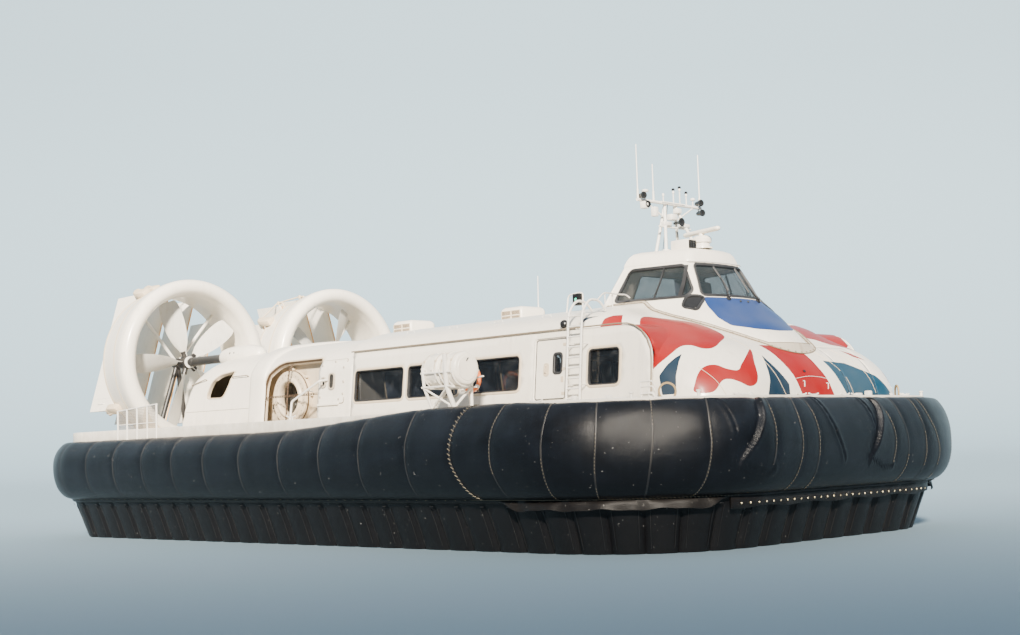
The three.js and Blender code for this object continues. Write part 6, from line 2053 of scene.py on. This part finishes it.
def buildLadders():
    low, high = ladder["rails"]
    for name, side in sides:
        bars = []
        for x in ladder["rails"]:
            stile = bent([(x, y, z) for y, z in (ladder["foot"], *ladder[name])], 0.16, 8)
            bars += [(0.026, 12, *stile)] + [(0.013, 8, (x, rungY(z), z), (x, rungY(z) - 0.27, z)) for z in (3.35, 4.2)]
        bars += [(0.019, 10, (low, rungY(z), z), (high, rungY(z), z)) for z in (3.06 + 0.215 * i for i in range(9))]
        # Roof handrail from the ladder to the wheelhouse, and the light's tube arch
        if side < 0:
            bars += [(0.016, 10, *bent(ladder["handrail"], 0.12, 6))]
            bars += [(0.013, 8, (x, y, z), (x, y, 5.305)) for x, y, z in ((7.70, 3.05, 4.85), (7.47, 2.55, 4.98))]
        bars += [(0.018, 10, *bent(ladder["arch"], 0.09, 6))]
        feet = [(block, (x, side * 4.08, 2.912), (0.09, 0.09, 0.015), 0.004) for x in ladder["rails"]]
        piece(f"boardingLadder_{name}", fittingWhite, (rods, side, bars), *feet, replaces=(f"ladder_{name}",))
        fins = [(block, (6.62, side * 2.794, 5.18 + 0.045 * k), (0.15, 0.012, 0.012), 0.003) for k in range(5)]
        piece(f"deckLights_{name}", lampBlack, (block, (6.62, side * 2.72, 5.27), (0.20, 0.14, 0.26), 0.018), *fins,
              (dome, (7.10, side * 3.70, 4.66), (0.4, side, 0.25), 0.095, 0.07, 16), slot="black_paint")
        piece(f"signalLens_{name}", greenLens if side < 0 else redLens,
              (dome, (6.62, side * 2.79, 5.27), (0, side, 0), 0.035, 0.02, 14), slot="dark_glass")


mastShape = {"x": 7.1, "top": 7.56, "half": 1.15, "roof": 6.41, "yard": 6.99}
radar = {"x": 8.06, "y": -0.1, "barZ": 6.785, "rest": -15, "lamp": (7.86, -0.52, 6.47)}


def buildMast():
    m = mastShape
    x, top, roof, yard = m["x"], m["top"], m["roof"], m["yard"]
    bm = bmesh.new()
    rods(bm, 1, [(0.036, 16, (x, -m["half"], top), (x, m["half"], top)),
                 (0.022, 10, (x + 0.10, -0.42, top), (x + 0.10, 0.42, top)),
                 (0.024, 12, (x + 0.13, -0.56, yard), (x + 0.13, 0.56, yard))])
    for k in (-1, 1):
        rods(bm, k, [(0.036, 14, (x - 0.12, 0.42, roof - 0.02), (x, 0.168, top)),
                     (0.036, 14, (x + 0.33, 0.60, roof - 0.02), (x, 0.18, top - 0.02)),
                     (0.018, 10, (x, 0.90, top), (x + 0.03, 0.252, top - 0.34))])
        foot = [(0, -0.03), (0.08, -0.03), (0.08, 0.012), (0.04, 0.02), (0, 0.02)]
        turned(bm, [(r, roof + h) for r, h in foot], (x + 0.33, k * 0.60, 0), upward, 16)
    for y, h in ((-1.12, 1.26), (1.12, 1.27), (-0.57, 0.87)):
        tube(bm, [(x, y, top), (x, y, top + 0.24)], 0.026, 10)
        tube(bm, [(x, y, top + 0.2), (x, y, top + h)], 0.018, 8, 0.012)
    # Mushroom aerials, lamp stalks and boxes
    for y, h, r in ((-0.86, 0.20, 0.085), (0.86, 0.16, 0.06), (0.15, 0.26, 0.03), (0.62, 0.24, 0.03),
                    (-0.22, 0.17, 0.03), (0.38, 0.34, 0.032)):
        tube(bm, [(x, y, top), (x, y, top + h)], 0.016, 8)
        turned(bm, [(0, h - 0.01), (r * 0.9, h), (r, h + 0.03), (r * 0.7, h + 0.055), (0, h + 0.065)], (x, y, top),
               upward, 18)
    for dx, y, z, size in ((0.06, -0.62, 7.32, (0.13, 0.13, 0.22)), (0.06, 0.20, 7.40, (0.16, 0.14, 0.12)),
                           (0.13, -0.30, 7.06, (0.12, 0.26, 0.10)), (0.13, 0.34, 7.06, (0.12, 0.30, 0.09)),
                           (0.06, -0.98, 7.44, (0.14, 0.16, 0.16)), (0.06, 0.0, 7.24, (0.16, 0.22, 0.14))):
        block(bm, (x + dx, y, z), size, 0.02)
    toPiece("signalMast", bm, fittingWhite, replaces=("mast",), angle=45)
    bm = bmesh.new()
    for y, h in ((0.38, 0.40), (0.15, 0.33), (0.62, 0.30)):
        turned(bm, [(0, h), (0.036, h), (0.04, h + 0.03), (0.02, h + 0.05), (0, h + 0.05)], (x, y, top), upward, 14)
    lamp = [(0, -0.10), (0.045, -0.09), (0.06, 0.0), (0.085, 0.08), (0.075, 0.10), (0, 0.07)]
    for y, z in ((1.02, top + 0.10), (1.06, top - 0.13), (-0.92, top - 0.10), (-1.05, top + 0.09)):
        turned(bm, lamp, (x + 0.05, y, z), (1, -0.15, 0), 16)
        tube(bm, [(x, y, z), (x, y, top)], 0.014, 8)
    horn = [(0, -0.12), (0.03, -0.12), (0.03, -0.02), (0.05, 0.06), (0.10, 0.13), (0.09, 0.135), (0, 0.08)]
    turned(bm, horn, (x + 0.2, 0.02, 7.10), (1, -0.1, 0), 18)
    for y in (-0.33, 0.33):
        tube(bm, [(x - 0.05, y * 0.9 + 0.035, roof), (x + 0.03, y * 0.42 + 0.03, top - 0.02)], 0.008, 6)
    toPiece("mastLamps", bm, lampBlack, slot="black_paint")

    # Radar stand, searchlight, and the round-ended scanner bar on its drive
    rx, ry, lampAt = radar["x"], radar["y"], radar["lamp"]
    stand = [(0, 6.40), (0.24, 6.40), (0.235, 6.425), (0.18, 6.44), (0.175, 6.52), (0.215, 6.54), (0.22, 6.62),
             (0.18, 6.67), (0.09, 6.70), (0, 6.70)]
    piece("radarStand", whitePaint, (block, lampAt, (0.50, 0.30, 0.24), 0.03),
          (turned, stand, (rx, ry, 0), upward, 32), replaces=("radar_post",))
    piece("searchlightFace", lampBlack, (block, (8.12, -0.52, 6.47), (0.02, 0.26, 0.19), 0.008),
          *[(block, (8.135, y, 6.47), (0.012, 0.02, 0.17), 0.003) for y in (-0.6, -0.52, -0.44)], slot="black_paint")
    turn = math.radians(radar["rest"])
    ahead, across = Vector((math.cos(turn), math.sin(turn), 0)), Vector((-math.sin(turn), math.cos(turn), 0))
    ends = ((0.57, 0.068), (0.61, 0.062), (0.632, 0.042), (0.64, 0.012))
    bar = [[Vector((rx, ry, radar["barZ"])) + ahead * u + across * (w * math.cos(a))
            + Vector((0, 0, 0.8 * w * math.sin(a))) for a in circle(18)]
           for u, w in [(-u, w) for u, w in ends[::-1]] + list(ends)]
    drum = [(0, 6.703), (0.065, 6.703), (0.06, 6.74), (0.05, 6.76), (0, 6.76)]
    piece("scannerBar", whitePaint, (loft, bar), (turned, drum, (rx, ry, 0), upward, 20), body="radar_scanner",
          replaces=("radar_scanner",), angle=50)


buildRafts()
buildLadders()
buildMast()
print("rafts, ladders and mast are made")


# Panel joints of the dome, each in the dome's flat map
domeJoints = [
    [(-.30, .235), (-.262, .155), (-.225, .085), (-.19, .006)], [(-.45, .09), (-.41, .05), (-.385, .006)],
    [(.05, .24), (.10, .13), (.13, .06), (.14, .006)], [(.20, .19), (.235, .1), (.25, .006)],
]


def jointOwner(p):
    # The body that a joint's point rides on: none right at the bow door's edge
    y0, y1, z0, z1 = bowShape["door"]
    within = lambda beyond: y0 - beyond < p.y < y1 + beyond and z0 - beyond < p.z < z1 + beyond
    if within(0.03) and not within(-0.02):
        return None
    return "bow_door" if within(0) else "craft"


def buildDomeDetail():
    rail = [domeSurface(-.128 + .155 * k / 10, .0585 + .008 * math.sin(k / 10 * 3)) for k in range(11)]
    handles = [(tube, [p + domeOut(p).normalized() * 0.004 for p in rail], 0.006, 6)]
    for u, v in ((-.10, .055), (.015, .05)):
        p, drop = domeSurface(u, v - .004), Vector((0, 0, 0.12))
        out = domeOut(p).normalized()
        handles.append((tube, bent([p - out * 0.01, p + out * 0.04, p + out * 0.04 - drop, p - drop], 0.02), 0.010, 8))
    piece("hatchHandles", fittingWhite, *handles)
    oval = [(-.075 + .006 * math.cos(a), .082 + .004 * math.sin(a)) for a in circle(16)]
    piece("domeVent", lampBlack, (patch, domeSurface, oval, 0.012, 0.02, domeOut), slot="black_paint")
    # Fine raised sealant lines; those over the door swing with it
    joints = {"craft": [], "bow_door": []}
    for line in domeJoints:
        stretch, carrier = [], None
        for place in [*spline(line, 12), None]:
            p = domeSurface(*place) if place else None
            owner = jointOwner(p) if place else None
            if owner != carrier:
                if carrier and len(stretch) > 2:
                    joints[carrier].append((tube, stretch, 0.006, 5))
                stretch, carrier = [], owner
            if owner:
                stretch.append(p + domeOut(p).normalized() * 0.0015)
    piece("domeJoints", creamMoulding, *joints["craft"])
    piece("doorJoints", creamMoulding, *joints["bow_door"], body="bow_door")


def buildForeDeck():
    # Towing posts, fairleads, a stowed gangway, handling frames and small gear at the dome's foot
    deck = hullShape["deck"]
    fittings, gear, frames = bmesh.new(), bmesh.new(), bmesh.new()
    for k in (-1, 1):
        for x, y in ((10.9, 4.1), (9.9, 4.9)):
            tube(fittings, [(x, k * y, deck), (x, k * y, deck + 0.17)], 0.035, 14)
            cap = [(0, 0.16), (0.05, 0.16), (0.05, 0.185), (0, 0.19)]
            turned(fittings, [(r, deck + h) for r, h in cap], (x, k * y, 0), upward, 14)
        for x, y, h in ((8.1, 4.55, 0.20), (9.2, 4.75, 0.16), (11.0, 2.6, 0.13)):
            block(fittings, (x, k * y, deck + h / 2), (0.10, 0.10, h), 0.015)
        y, z = k * 4.62, deck + 0.09
        for d in (-0.14, 0.14):
            tube(fittings, [(9.7, y + d, z), (8.3, y + d, z)], 0.018, 8)
        for x in (8.45 + 0.22 * i for i in range(6)):
            tube(fittings, [(x, y - 0.14, z), (x, y + 0.14, z)], 0.012, 8)
        for x in (8.5, 9.5):
            block(fittings, (x, y, deck + 0.04), (0.06, 0.36, 0.08), 0.01)
        for high in (deck + 0.16, deck + 0.30, deck + 0.40):
            hoop = [(9.62, k * 4.3, high), (9.95, k * 4.32, high), (10.02, k * 4.3, high - 0.12)]
            tube(frames, bent(hoop, 0.03), 0.016, 8)
        for x, high in ((9.64, 0.40), (9.84, 0.40), (10.02, 0.28)):
            tube(frames, [(x, k * 4.3, deck + 0.004), (x, k * 4.3, deck + high)], 0.018, 8)
        block(frames, (9.84, k * 4.22, deck + 0.10), (0.34, 0.14, 0.19), 0.02)
        turned(gear, [(0.145, -0.018), (0.18, -0.018), (0.184, 0.0), (0.18, 0.018), (0.145, 0.018)],
               (10.22, k * 4.2, deck + 0.186), (0.7, k * 0.7, 0), 36)
    tube(gear, [(11.12, -2.0, deck + 0.045), (11.16, -0.8, deck + 0.045)], 0.024, 8)
    for y, size in ((1.05, (0.10, 0.20, 0.12)), (1.45, (0.12, 0.14, 0.17)), (2.95, (0.12, 0.18, 0.10)),
                    (-1.45, (0.10, 0.22, 0.08))):
        block(frames, (11.16, y, deck + size[2] / 2), size, 0.02)
    toPiece("foreDeckFittings", fittings, fittingWhite)
    piece("deckStrips", boltMetal, *[(block, (10.55, k * 3.98, deck + 0.03), (0.7, 0.05, 0.03), 0.01) for k in (-1, 1)],
          (block, (11.18, -1.2, deck + 0.03), (0.05, 0.9, 0.03), 0.01), slot="machine_metal")
    toPiece("reelsAndHook", gear, gearTan)
    toPiece("deckGear", frames, fittingWhite)


buildDomeDetail()
buildForeDeck()
print("bow fittings are made")
